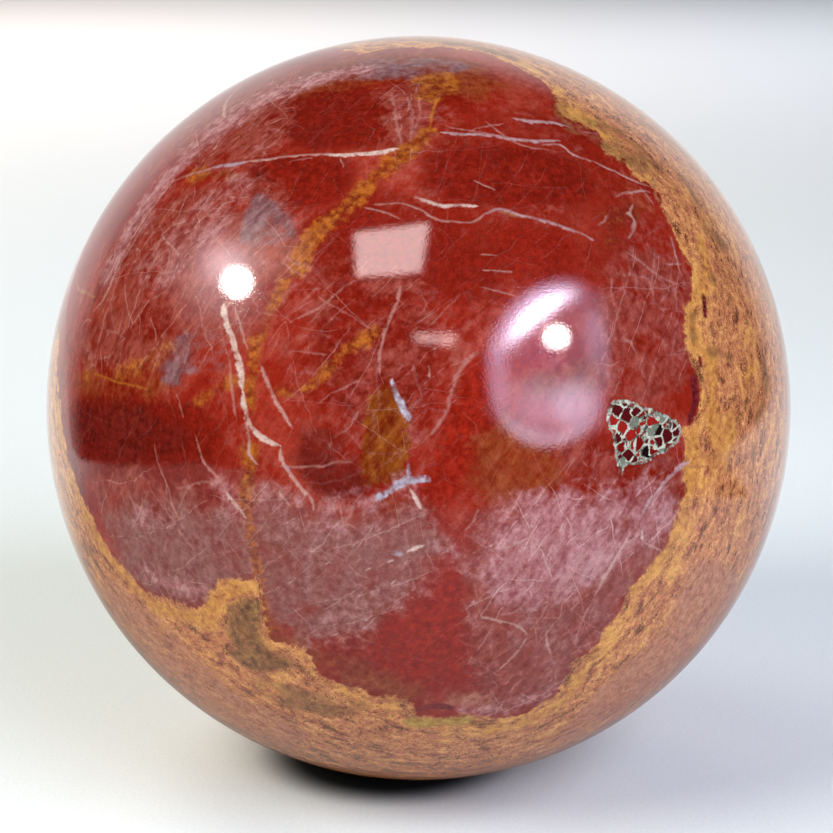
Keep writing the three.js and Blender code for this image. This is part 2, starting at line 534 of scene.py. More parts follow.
@dataclass(frozen=True)
class RindPatches:
    """The streaks and spots of the rind, at the right, below and along the left limb."""

    ochres: tuple[Patch, ...] = (
        Patch(Mineral.RIND_OCHRE, ((700, 241), (706, 262), (704, 290)), band=1.7),
        Patch(Mineral.RIND_OCHRE, ((688, 312), (694, 330), (696, 348)), band=1.6, strength=0.7),
        Patch(Mineral.RIND_OCHRE, ((710, 357), (714, 384), (712, 410), (716, 440)), band=2.6),
        Patch(Mineral.RIND_OCHRE, ((730, 420), (728, 446), (712, 462)), band=3.0, strength=0.6),
        Patch(Mineral.RIND_OCHRE, ((752, 366), (746, 391)), band=1.2, strength=0.7),
        Patch(Mineral.RIND_OCHRE, ((695, 425), (692, 444), (690, 470), (688, 496), (684, 514)), band=1.7, strength=0.8),
        Patch(Mineral.RIND_OCHRE, ((684, 514), (672, 540), (656, 566), (636, 590)), band=1.0, strength=0.5),
        Patch(Mineral.RIND_OCHRE, ((580, 676), (562, 702), (528, 722), (490, 732)), band=1.5, strength=0.6),
        Patch(Mineral.RIND_OCHRE, ((56, 408), (62, 440), (74, 484), (94, 530), (120, 572), (150, 600)),
              band=2.2, strength=0.75),
        Patch(Mineral.RIND_OCHRE, ((150, 604), (180, 614), (206, 620), (218, 598), (240, 588)), band=2.2, strength=0.75),
        Patch(Mineral.RIND_OCHRE, ((720, 220), (696, 221)), band=0.7, strength=0.7),
        Patch(Mineral.RIND_OCHRE, ((342, 46), (400, 40), (470, 44)), band=1.6, strength=0.4))
    browns: tuple[Patch, ...] = (
        Patch(Mineral.RIND_BROWN, (
            (556, 104), (606, 122), (660, 170), (656, 186), (634, 168), (604, 148), (566, 126)), strength=0.48),
        Patch(Mineral.RIND_BROWN, ((638, 154), (660, 169)), band=1.6, strength=0.8),
        Patch(Mineral.RIND_BROWN, ((681, 177), (693, 195), (704, 221)), band=0.9, strength=0.85),
        Patch(Mineral.RIND_BROWN, ((706, 230), (722, 244)), band=2.0, strength=0.6),
        Patch(Mineral.RIND_BROWN, ((713, 273), (714, 281)), band=0.7, strength=0.9),
        Patch(Mineral.RIND_BROWN, ((692, 316), (694, 344)), band=0.6, strength=0.8),
        Patch(Mineral.RIND_BROWN, ((710, 331), (718, 334), (723, 340)), band=0.5, strength=0.8),
        Patch(Mineral.RIND_BROWN, ((711, 352), (722, 353), (730, 358)), band=0.5, strength=0.8),
        Patch(Mineral.RIND_BROWN, ((764, 358), (766, 386), (758, 420)), band=1.1, strength=0.6),
        Patch(Mineral.RIND_BROWN, ((754, 452), (752, 470)), band=0.9, strength=0.6),
        Patch(Mineral.RIND_BROWN, ((238, 656), (250, 664)), band=2.4, strength=0.7),
        Patch(Mineral.RIND_BROWN, ((228, 604), (256, 602), (262, 640), (292, 664), (256, 672), (234, 644)), strength=0.75),
        Patch(Mineral.RIND_BROWN, ((256, 676), (300, 690), (370, 706), (330, 716), (264, 696)), strength=0.5),
        Patch(Mineral.RIND_BROWN, ((352, 43), (420, 40), (480, 48), (540, 70)), band=2.4, strength=0.55))
    others: tuple[Patch, ...] = (
        Patch(Mineral.RIND_YELLOW, ((574, 120), (592, 124)), band=1.8, strength=0.4),
        Patch(Mineral.RIND_YELLOW, ((412, 722), (438, 722), (462, 720)), band=2.2, strength=0.7),
        Patch(Mineral.RIND_YELLOW, ((228, 600), (256, 598), (262, 640), (236, 644)), strength=0.25),
        Patch(Mineral.RIND_MAROON, ((704, 297), (705, 316)), band=1.0),
        Patch(Mineral.RIND_MAROON, ((700, 358), (700, 365)), band=0.7),
        Patch(Mineral.RIND_MAROON, ((694, 378), (695, 402), (690, 420)), band=1.7, strength=0.85),
        Patch(Mineral.RIND_MAROON, ((418, 710), (436, 706), (452, 708)), band=1.1, strength=0.7))
    pinks: tuple[Patch, ...] = (
        Patch(Mineral.RIND_PINK, (
            (740, 250), (768, 290), (782, 350), (782, 460), (768, 540), (750, 560), (752, 460), (762, 360),
            (748, 300)), strength=0.3),
        Patch(Mineral.RIND_PINK, (
            (700, 560), (736, 590), (700, 650), (620, 710), (560, 740), (600, 690), (660, 630)), strength=0.55),
        Patch(Mineral.RIND_PINK, (
            (110, 580), (170, 630), (230, 690), (300, 726), (280, 744), (180, 694), (110, 610)), strength=0.5),
        Patch(Mineral.RIND_PINK, ((456, 700), (486, 700)), band=1.6, strength=0.5))


@dataclass(frozen=True)
class HiddenPatches:
    """The larger stretches of colour on the side that faces away, by degrees round and up."""

    core: tuple[Patch, ...] = (
        Patch(Mineral.BRIGHT, ((-98, 30), (-112, 24), (-128, 34), (-130, 52), (-108, 56)), 0, 0.8, True),
        Patch(Mineral.MAUVE, ((-100, 52), (-124, 50), (-136, 60), (-116, 68)), 0, 0.7, True),
        Patch(Mineral.MAROON, ((126, 6), (146, 14), (158, 2), (146, -12), (130, -6)), 0, 0.6, True),
        Patch(Mineral.BRIGHT, ((150, 20), (168, 8), (166, -10), (154, 0)), 0, 0.8, True),
        Patch(Mineral.OCHRE, ((120, 12), (134, 16), (146, 10), (158, 14), (172, 4)), 1.9, 0.9, True),
        Patch(Mineral.MAUVE, ((140, -8), (160, -12), (160, -26), (142, -22)), 0, 0.8, True))
    rind: tuple[Patch, ...] = (
        Patch(Mineral.RIND_OCHRE, ((96, 34), (106, 22), (100, 4), (108, -14), (104, -36)), 3.4, 0.55, True),
        Patch(Mineral.RIND_OCHRE, ((-150, 30), (-160, 14), (-150, -4), (-156, -18), (-134, -32)), 3.0, 0.55, True),
        Patch(Mineral.RIND_BROWN, ((-174, 34), (-166, 20), (-174, 4), (-170, -14)), 2.6, 0.4, True),
        Patch(Mineral.RIND_BROWN, ((120, 54), (150, 48), (176, 56)), 2.6, 0.4, True),
        Patch(Mineral.RIND_MAROON, ((-140, -4), (-138, -10)), 1.4, 0.8, True),
        Patch(Mineral.RIND_PINK, (
            (-170, -20), (-130, -24), (-110, -44), (-160, -60), (150, -56), (160, -36)), 0, 0.6, True),
        Patch(Mineral.RIND_PINK, (
            (80, 50), (130, 62), (-170, 66), (-160, 44), (150, 38), (100, 40)), 0, 0.5, True))


@dataclass(frozen=True)
class FrontVeins:
    """The thin veins on the side that the photograph shows, grouped by where they run."""

    main: tuple[Vein, ...] = (
        Vein(Tone.MILK, 1.15, 0.95, ((224, 304), (227, 327), (232, 339), (236, 353), (241, 370), (243, 390))),
        Vein(Tone.MILK, 0.85, 0.9, ((243, 390), (245, 408), (248, 424), (262, 437), (280, 446))),
        Vein(Tone.CREAM, 0.6, 0.85, ((280, 446), (285, 466), (300, 487), (311, 499), (313, 510))),
        Vein(Tone.CREAM, 0.55, 0.8, ((245, 420), (249, 442), (250, 455), (258, 466))),
        Vein(Tone.CREAM, 0.35, 0.7, ((235, 307), (241, 327), (248, 350))),
        Vein(Tone.PINK, 0.35, 0.7, ((221, 331), (225, 350), (231, 370), (236, 421))),
        Vein(Tone.CREAM, 0.6, 0.85, ((261, 366), (269, 388), (280, 408), (292, 428))),
        Vein(Tone.BLUE_GREY, 0.8, 0.8, ((285, 464), (290, 470))),
        Vein(Tone.CREAM, 0.4, 0.7, ((280, 492), (291, 508))),
        Vein(Tone.PINK, 0.3, 0.6, ((280, 466), (321, 466), (331, 463), (352, 463))))
    lower_left: tuple[Vein, ...] = (
        Vein(Tone.PINK, 0.45, 0.75, ((195, 435), (202, 458), (218, 478), (230, 497))),
        Vein(Tone.MILK, 0.7, 0.75, ((226, 492), (236, 506), (246, 518))),
        Vein(Tone.PINK, 0.35, 0.6, ((154, 444), (157, 461), (168, 489), (173, 506), (187, 532))),
        Vein(Tone.PINK, 0.3, 0.55, ((128, 490), (137, 511), (147, 537))),
        Vein(Tone.PINK, 0.35, 0.55, ((175, 391), (184, 417))),
        Vein(Tone.PINK, 0.35, 0.5, ((148, 486), (172, 520), (196, 552))),
        Vein(Tone.PINK, 0.35, 0.5, ((176, 488), (206, 482), (222, 486))))
    limb: tuple[Vein, ...] = (
        Vein(Tone.CREAM, 0.5, 0.6, ((175, 179), (148, 214), (134, 235), (119, 262), (107, 294), (93, 311))),
        Vein(Tone.PINK, 0.35, 0.6, ((153, 213), (136, 238), (122, 262), (108, 288), (98, 312))),
        Vein(Tone.CREAM, 0.3, 0.6, ((162, 235), (180, 256))),
        Vein(Tone.CREAM, 0.3, 0.6, ((162, 235), (172, 226), (185, 221))),
        Vein(Tone.PINK, 0.3, 0.6, ((176, 222), (182, 206), (190, 189))),
        Vein(Tone.PINK, 0.3, 0.6, ((204, 213), (213, 200), (221, 190))),
        Vein(Tone.PINK, 0.35, 0.6, ((190, 246), (214, 230), (233, 220))),
        Vein(Tone.CREAM, 0.7, 0.6, ((213, 150), (219, 141))),
        Vein(Tone.CREAM, 0.4, 0.6, ((270, 124), (284, 118))),
        Vein(Tone.PINK, 0.3, 0.6, ((125, 282), (126, 299), (130, 315), (134, 325))),
        Vein(Tone.ORANGE, 0.4, 0.7, ((92, 373), (120, 383), (147, 389))))
    upper: tuple[Vein, ...] = (
        Vein(Tone.PINK, 0.5, 0.75, ((173, 182), (194, 173), (219, 167), (245, 162))),
        Vein(Tone.BLUE_GREY, 0.75, 0.6, ((212, 168), (228, 165), (246, 162))),
        Vein(Tone.CREAM, 0.45, 0.75, ((240, 163), (271, 159), (299, 156), (340, 154))),
        Vein(Tone.MILK, 0.8, 0.85, ((326, 155), (349, 155), (376, 152), (398, 148))),
        Vein(Tone.PINK, 0.35, 0.7, ((290, 162), (312, 158))),
        Vein(Tone.CREAM, 0.4, 0.7, ((340, 158), (343, 167))),
        Vein(Tone.PINK, 0.5, 0.5, ((392, 92), (396, 118), (402, 144))),
        Vein(Tone.PINK, 0.6, 0.45, ((408, 96), (412, 122), (410, 142))),
        Vein(Tone.PINK, 0.4, 0.45, ((420, 98), (420, 120))),
        Vein(Tone.ORANGE, 0.5, 0.95, ((440, 96), (433, 111), (428, 130))),
        Vein(Tone.MILK, 0.7, 0.9, ((414, 198), (428, 202), (441, 206), (460, 206), (478, 206))),
        Vein(Tone.CREAM, 0.3, 0.6, ((364, 207), (382, 212), (400, 220))),
        Vein(Tone.CREAM, 0.3, 0.6, ((373, 205), (410, 206), (438, 220), (455, 222), (471, 223), (486, 213))),
        Vein(Tone.TAN, 0.75, 0.6, ((498, 212), (512, 214), (530, 217))),
        Vein(Tone.LILAC, 0.45, 0.6, ((486, 214), (500, 209), (531, 218), (556, 224), (578, 233), (594, 240))))
    upper_right: tuple[Vein, ...] = (
        Vein(Tone.LILAC, 0.7, 0.75, ((440, 132), (462, 134), (488, 135), (512, 139), (535, 141), (560, 141))),
        Vein(Tone.PINK, 0.35, 0.6, ((448, 127), (474, 131), (502, 138), (528, 147), (548, 150))),
        Vein(Tone.PINK, 0.3, 0.7, ((471, 130), (488, 126), (504, 123))),
        Vein(Tone.PINK, 0.3, 0.7, ((485, 121), (498, 131), (510, 140))),
        Vein(Tone.LILAC, 0.75, 0.75, ((512, 119), (540, 122), (555, 123), (569, 127))),
        Vein(Tone.LILAC, 0.4, 0.7, ((584, 132), (597, 135))),
        Vein(Tone.CREAM, 0.4, 0.7, (
            (543, 145), (561, 145), (574, 155), (597, 164), (620, 174), (638, 182), (650, 187))),
        Vein(Tone.CREAM, 0.4, 0.7, ((626, 194), (640, 190), (651, 193))),
        Vein(Tone.PINK, 0.5, 0.6, ((640, 187), (648, 196), (654, 204))),
        Vein(Tone.PINK, 0.35, 0.7, ((615, 198), (623, 193), (632, 191))),
        Vein(Tone.CREAM, 0.6, 0.65, ((634, 206), (630, 214), (635, 222), (629, 238))),
        Vein(Tone.PINK, 0.3, 0.6, ((608, 215), (605, 222), (597, 225))),
        Vein(Tone.CREAM, 0.35, 0.6, ((671, 237), (676, 256), (680, 273))),
        Vein(Tone.CREAM, 0.3, 0.6, ((666, 264), (681, 264))),
        Vein(Tone.PINK, 0.35, 0.6, ((626, 251), (642, 262), (659, 275), (685, 289))),
        Vein(Tone.CREAM, 0.25, 0.7, ((474, 180), (495, 190))),
        Vein(Tone.CREAM, 0.22, 0.6, ((480, 254), (496, 255))),
        Vein(Tone.CREAM, 0.22, 0.6, ((482, 270), (512, 272))),
        Vein(Tone.CREAM, 0.22, 0.6, ((480, 288), (516, 296))))
    centre: tuple[Vein, ...] = (
        Vein(Tone.PINK, 0.45, 0.8, ((402, 286), (396, 305), (387, 325), (381, 349), (380, 375))),
        Vein(Tone.PINK, 0.3, 0.6, ((290, 323), (324, 303), (355, 280))),
        Vein(Tone.PINK, 0.25, 0.5, ((318, 296), (346, 314), (373, 329))),
        Vein(Tone.PINK, 0.25, 0.5, ((290, 351), (328, 355))),
        Vein(Tone.PINK, 0.3, 0.6, ((319, 403), (340, 390), (359, 380))),
        Vein(Tone.PINK, 0.25, 0.5, ((428, 327), (445, 311), (460, 296))),
        Vein(Tone.DARK, 0.3, 0.5, ((467, 322), (485, 309), (502, 296))),
        Vein(Tone.CREAM, 0.35, 0.7, ((428, 366), (430, 378))),
        Vein(Tone.PINK, 0.65, 0.6, ((479, 352), (463, 366), (453, 386), (446, 410), (441, 420), (432, 435))),
        Vein(Tone.MILK, 0.7, 0.85, ((409, 488), (415, 496), (422, 510))))
    pocket: tuple[Vein, ...] = (
        Vein(Tone.LILAC, 0.95, 0.85, ((690, 461), (676, 470), (666, 480), (656, 494))),
        Vein(Tone.PINK, 0.4, 0.7, ((650, 465), (645, 476))),
        Vein(Tone.TAN, 0.4, 0.7, ((681, 465), (709, 466))))
    pink_zone: tuple[Vein, ...] = (
        Vein(Tone.LILAC, 0.9, 0.7, ((656, 494), (648, 503), (637, 521))),
        Vein(Tone.MILK, 0.8, 0.8, ((642, 530), (642, 542))),
        Vein(Tone.CREAM, 0.35, 0.7, ((644, 542), (654, 547), (662, 552))),
        Vein(Tone.CREAM, 0.6, 0.8, ((640, 534), (624, 546), (607, 574), (595, 594))),
        Vein(Tone.PINK, 0.45, 0.75, ((595, 594), (586, 613), (579, 627), (575, 644))),
        Vein(Tone.TAN, 0.3, 0.6, ((624, 550), (627, 566), (631, 580))),
        Vein(Tone.PINK, 0.35, 0.7, ((590, 536), (583, 560), (567, 580), (551, 599), (539, 620), (530, 630))),
        Vein(Tone.PINK, 0.3, 0.65, ((527, 618), (560, 618))),
        Vein(Tone.PINK, 0.3, 0.65, ((539, 594), (551, 591), (576, 590))),
        Vein(Tone.CREAM, 0.5, 0.8, ((482, 616), (502, 622), (520, 627), (527, 636))),
        Vein(Tone.CREAM, 0.35, 0.75, ((527, 637), (516, 653), (498, 671))),
        Vein(Tone.CREAM, 0.35, 0.75, ((546, 633), (551, 657))),
        Vein(Tone.PINK, 0.35, 0.7, ((536, 630), (536, 643))),
        Vein(Tone.PINK, 0.3, 0.65, ((529, 601), (513, 613), (498, 615))),
        Vein(Tone.CREAM, 0.35, 0.7, ((530, 538), (509, 546), (491, 549))),
        Vein(Tone.PINK, 0.35, 0.7, ((474, 605), (485, 594), (496, 587), (509, 587))),
        Vein(Tone.PINK, 0.35, 0.65, ((547, 518), (550, 504), (555, 493))),
        Vein(Tone.PINK, 0.3, 0.6, ((500, 545), (515, 570), (529, 600))),
        Vein(Tone.DARK, 0.35, 0.4, ((520, 698), (539, 689), (558, 679), (572, 671))))
    flecks: tuple[Vein, ...] = (
        Vein(Tone.MILK, 0.8, 0.85, ((407, 551), (416, 547), (423, 545))),
        Vein(Tone.MILK, 0.6, 0.8, ((388, 562), (393, 560))),
        Vein(Tone.MILK, 0.5, 0.75, ((391, 583), (396, 580))),
        Vein(Tone.MILK, 0.5, 0.7, ((366, 570), (370, 568))),
        Vein(Tone.MILK, 0.5, 0.7, ((326, 564), (330, 562))),
        Vein(Tone.MILK, 0.5, 0.75, ((364, 620), (368, 618))),
        Vein(Tone.MILK, 0.5, 0.75, ((333, 636), (337, 634))),
        Vein(Tone.DARK, 0.6, 0.9, ((280, 729), (283, 730))),
        Vein(Tone.DARK, 0.8, 0.9, ((661, 620), (663, 622))),
        Vein(Tone.DARK, 0.5, 0.9, ((609, 652), (611, 654))),
        Vein(Tone.DARK, 0.5, 0.9, ((127, 512), (126, 515))))


@dataclass(frozen=True)
class HiddenVeins:
    """Loose veins for the side that the photograph doesn't show, drawn at random from a fixed seed."""

    count: int = 46
    seed: int = 7
    length_low: float = 9.0
    length_high: float = 46.0
    width_low: float = 0.2
    width_high: float = 0.7
    bend: float = 0.24
    step: float = 5.0

    def courses(self, radius: float) -> list[tuple[Vein, np.ndarray]]:
        """Draw the veins.

        Args:
            radius: The ball's radius.

        Returns:
            Each vein with its corners as unit vectors.
        """
        draw = np.random.default_rng(self.seed)
        tones = (Tone.CREAM, Tone.PINK, Tone.ORANGE, Tone.ORANGE, Tone.TAN, Tone.TAN, Tone.DARK)
        made = []
        for _ in range(self.count):
            round_, up = draw.uniform(78, 285), draw.uniform(-48, 76)
            place = compass(((round_, up),))[0]
            heading = unit(np.cross(place, unit(draw.normal(size=3))))
            corners = [place]
            for _ in range(max(2, round(draw.uniform(self.length_low, self.length_high) / self.step))):
                heading = unit(heading + self.bend * draw.normal(size=3))
                place = unit(place + heading * self.step / radius)
                corners.append(place)
            tone = tones[draw.integers(len(tones))]
            width = draw.uniform(self.width_low, self.width_high)
            made.append((Vein(tone, width, draw.uniform(0.6, 0.95), ()), np.array(corners)))
        return made


@dataclass
class VeinSheet:
    """Veins that lie clear of one another, so that a single set of values at each point holds them all."""

    values: np.ndarray
    taken: np.ndarray


@dataclass
class JasperBall:
    """The ball itself: its mesh, and what each of its points knows about the stone around it."""

    view: PhotoView
    levels: int = 7
    keep_off: float = 2.6
    vein_reach: float = 1.7
    rind_reach: float = 60.0
    patch_reach: float = 5.0
    vein_sheets: int = 0
    outline: CoreOutline = field(default_factory=CoreOutline)
    name: str = "polished_jasper"

    def build(self) -> bpy.types.Object:
        """Make the ball, with its foot ground flat.

        Returns:
            The finished piece.
        """
        bpy.ops.object.select_all(action="DESELECT")
        radius, height = self.view.ball_radius * MM, self.view.centre_height * MM
        bpy.ops.mesh.primitive_cube_add(size=2 * radius, location=(0, 0, height))
        ball = bpy.context.object
        ball.name = self.name
        ball.data.name = self.name
        fine = ball.modifiers.new("Fine", "SUBSURF")
        fine.levels = fine.render_levels = self.levels
        bpy.ops.object.modifier_apply(modifier=fine.name)
        turned = ball.modifiers.new("Round", "CAST")
        turned.cast_type = "SPHERE"
        turned.factor = 1.0
        turned.use_radius_as_size = False
        turned.size = radius
        bpy.ops.object.modifier_apply(modifier=turned.name)
        bpy.ops.object.transform_apply(location=True, rotation=True, scale=True)
        bpy.ops.object.mode_set(mode="EDIT")
        bpy.ops.mesh.select_all(action="SELECT")
        bpy.ops.mesh.bisect(plane_co=(0, 0, 0), plane_no=(0, 0, 1), clear_inner=True, use_fill=True)
        bpy.ops.object.mode_set(mode="OBJECT")
        bpy.ops.object.shade_smooth()
        self.write_fields(ball)
        log.info("%s: %d faces, %d sheets of veins", self.name, len(ball.data.polygons), self.vein_sheets)
        return ball

    def points(self, ball: bpy.types.Object) -> np.ndarray:
        """Give the mesh's points in millimetres from the ball's centre."""
        flat = np.empty(3 * len(ball.data.vertices))
        ball.data.vertices.foreach_get("co", flat)
        return flat.reshape(-1, 3) / MM - np.array([0.0, 0.0, self.view.centre_height])

    def corners(self, patch: Patch) -> np.ndarray:
        """Give a patch's corners as unit vectors."""
        return compass(patch.places) if patch.hidden else self.view.normals(patch.places)

    def depth_inside(self, corners: np.ndarray, points: np.ndarray) -> np.ndarray:
        """Measure how deep points lie inside an outline, less than 0 outside it."""
        course = smooth_course(corners, self.view.ball_radius, closed=True)
        depth = nearest_on(course, points).distance
        return np.where(inside(course, points), depth, -depth)

    def core_depth(self, points: np.ndarray) -> np.ndarray:
        """Measure how deep points lie in the red core, less than 0 in the rind."""
        plan, view = self.outline, self.view
        seen = [view.normals(part) for part in (plan.right, plan.bottom, plan.left)]
        main = np.concatenate([*seen, compass(plan.behind), view.normals(plan.top)])
        return np.maximum(self.depth_inside(main, points), self.depth_inside(compass(plan.island), points))

    def patch_depth(self, patch: Patch, points: np.ndarray) -> np.ndarray:
        """Measure how deep points lie in a patch, held to what its strength allows."""
        corners = self.corners(patch)
        edge = patch.mineral.value.edge
        depth = np.full(len(points), -self.patch_reach)
        middle = unit(corners.mean(axis=0)) * self.view.ball_radius
        spread = np.linalg.norm(corners * self.view.ball_radius - middle, axis=1).max()
        near = np.linalg.norm(points - middle, axis=1) < spread + self.patch_reach + patch.band
        if patch.band:
            course = smooth_course(corners, self.view.ball_radius, closed=False)
            depth[near] = patch.band / 2 - nearest_on(course, points[near]).distance
        else:
            depth[near] = self.depth_inside(corners, points[near])
        return np.clip(depth, -self.patch_reach, edge * (2.4 * patch.strength - 1.2))

    def write_fields(self, ball: bpy.types.Object) -> None:
        """Store on each point how deep it lies in the rind, in each mineral and in each vein."""
        points = self.points(ball)
        self.store(ball, "rind", np.clip(-self.core_depth(points), -self.rind_reach, self.rind_reach))
        plans = (FrontPatches(), RindPatches(), HiddenPatches())
        patches = [patch for plan in plans for group in vars(plan).values() for patch in group]
        for mineral in Mineral:
            depth = np.full(len(points), -self.patch_reach)
            for patch in patches:
                if patch.mineral is mineral:
                    depth = np.maximum(depth, self.patch_depth(patch, points))
            self.store(ball, mineral.name.lower(), depth)
        self.write_veins(ball, points)

    def write_veins(self, ball: bpy.types.Object, points: np.ndarray) -> None:
        """Store the veins on as few sheets as keep neighbours apart."""
        radius = self.view.ball_radius
        drawn = [(vein, self.view.normals(vein.pixels))
                 for group in vars(FrontVeins()).values() for vein in group]
        sheets: list[VeinSheet] = []
        for vein, corners in drawn + HiddenVeins().courses(radius):
            course = smooth_course(corners, radius, closed=False)
            middle = course.mean(axis=0)
            spread = np.linalg.norm(course - middle, axis=1).max() + 2 * self.keep_off
            close = np.flatnonzero(np.linalg.norm(points - middle, axis=1) < spread)
            found = nearest_on(course, points[close])
            mine = close[found.distance < self.keep_off]
            sheet = next((s for s in sheets if not s.taken[mine].any()), None)
            if sheet is None:
                empty = np.tile([0.0, -2.0, 0.0, 0.0], (len(points), 1))
                sheet = VeinSheet(empty, np.zeros(len(points), bool))
                sheets.append(sheet)
            length = found.along.max()
            taper = np.minimum(1.0, np.sqrt(np.minimum(found.along, length - found.along) / 2.5 + 0.12))
            half = vein.width / 2 * taper - found.beyond
            held = found.distance < self.keep_off
            half = np.where(found.distance < self.vein_reach, half, -2.0)
            values = np.stack([found.side, half, np.full_like(half, vein.tone.value),
                               np.full_like(half, vein.strength)], axis=1)
            sheet.values[mine] = values[held]
            sheet.taken[mine] = True
        self.vein_sheets = len(sheets)
        for number, sheet in enumerate(sheets):
            layer = ball.data.attributes.new(f"veins_{number}", "FLOAT_COLOR", "POINT")
            layer.data.foreach_set("color", sheet.values.astype(np.float32).ravel())

    def store(self, ball: bpy.types.Object, name: str, values: np.ndarray) -> None:
        """Store one number on each point of the mesh."""
        layer = ball.data.attributes.new(name, "FLOAT", "POINT")
        layer.data.foreach_set("value", values.astype(np.float32))


def add_node(
    tree: bpy.types.NodeTree, kind: str, inputs: dict[str | int, object] | None = None, **settings: object
) -> bpy.types.Node:
    """Add one node with its settings and links.

    Args:
        tree: The material's or world's nodes.
        kind: Blender's name for the node.
        inputs: For a socket's name or number, its value or the socket that it is linked from.
        settings: The node's own options.

    Returns:
        The new node.
    """
    made = tree.nodes.new(kind)
    for option, choice in settings.items():
        setattr(made, option, choice)
    for socket, given in (inputs or {}).items():
        if isinstance(given, bpy.types.NodeSocket):
            tree.links.new(given, made.inputs[socket])
        else:
            made.inputs[socket].default_value = given
    return made


def set_stops(node: bpy.types.Node, stops: tuple[tuple[float, str], ...]) -> None:
    """Put colours on a colour ramp.

    Args:
        node: The ramp's node.
        stops: Each colour's place from 0 to 1, and its hex value.
    """
    ramp = node.color_ramp
    while len(ramp.elements) < len(stops):
        ramp.elements.new(1.0)
    for element, (place, colour) in zip(ramp.elements, stops):
        element.position = place
        element.color = linear(colour)


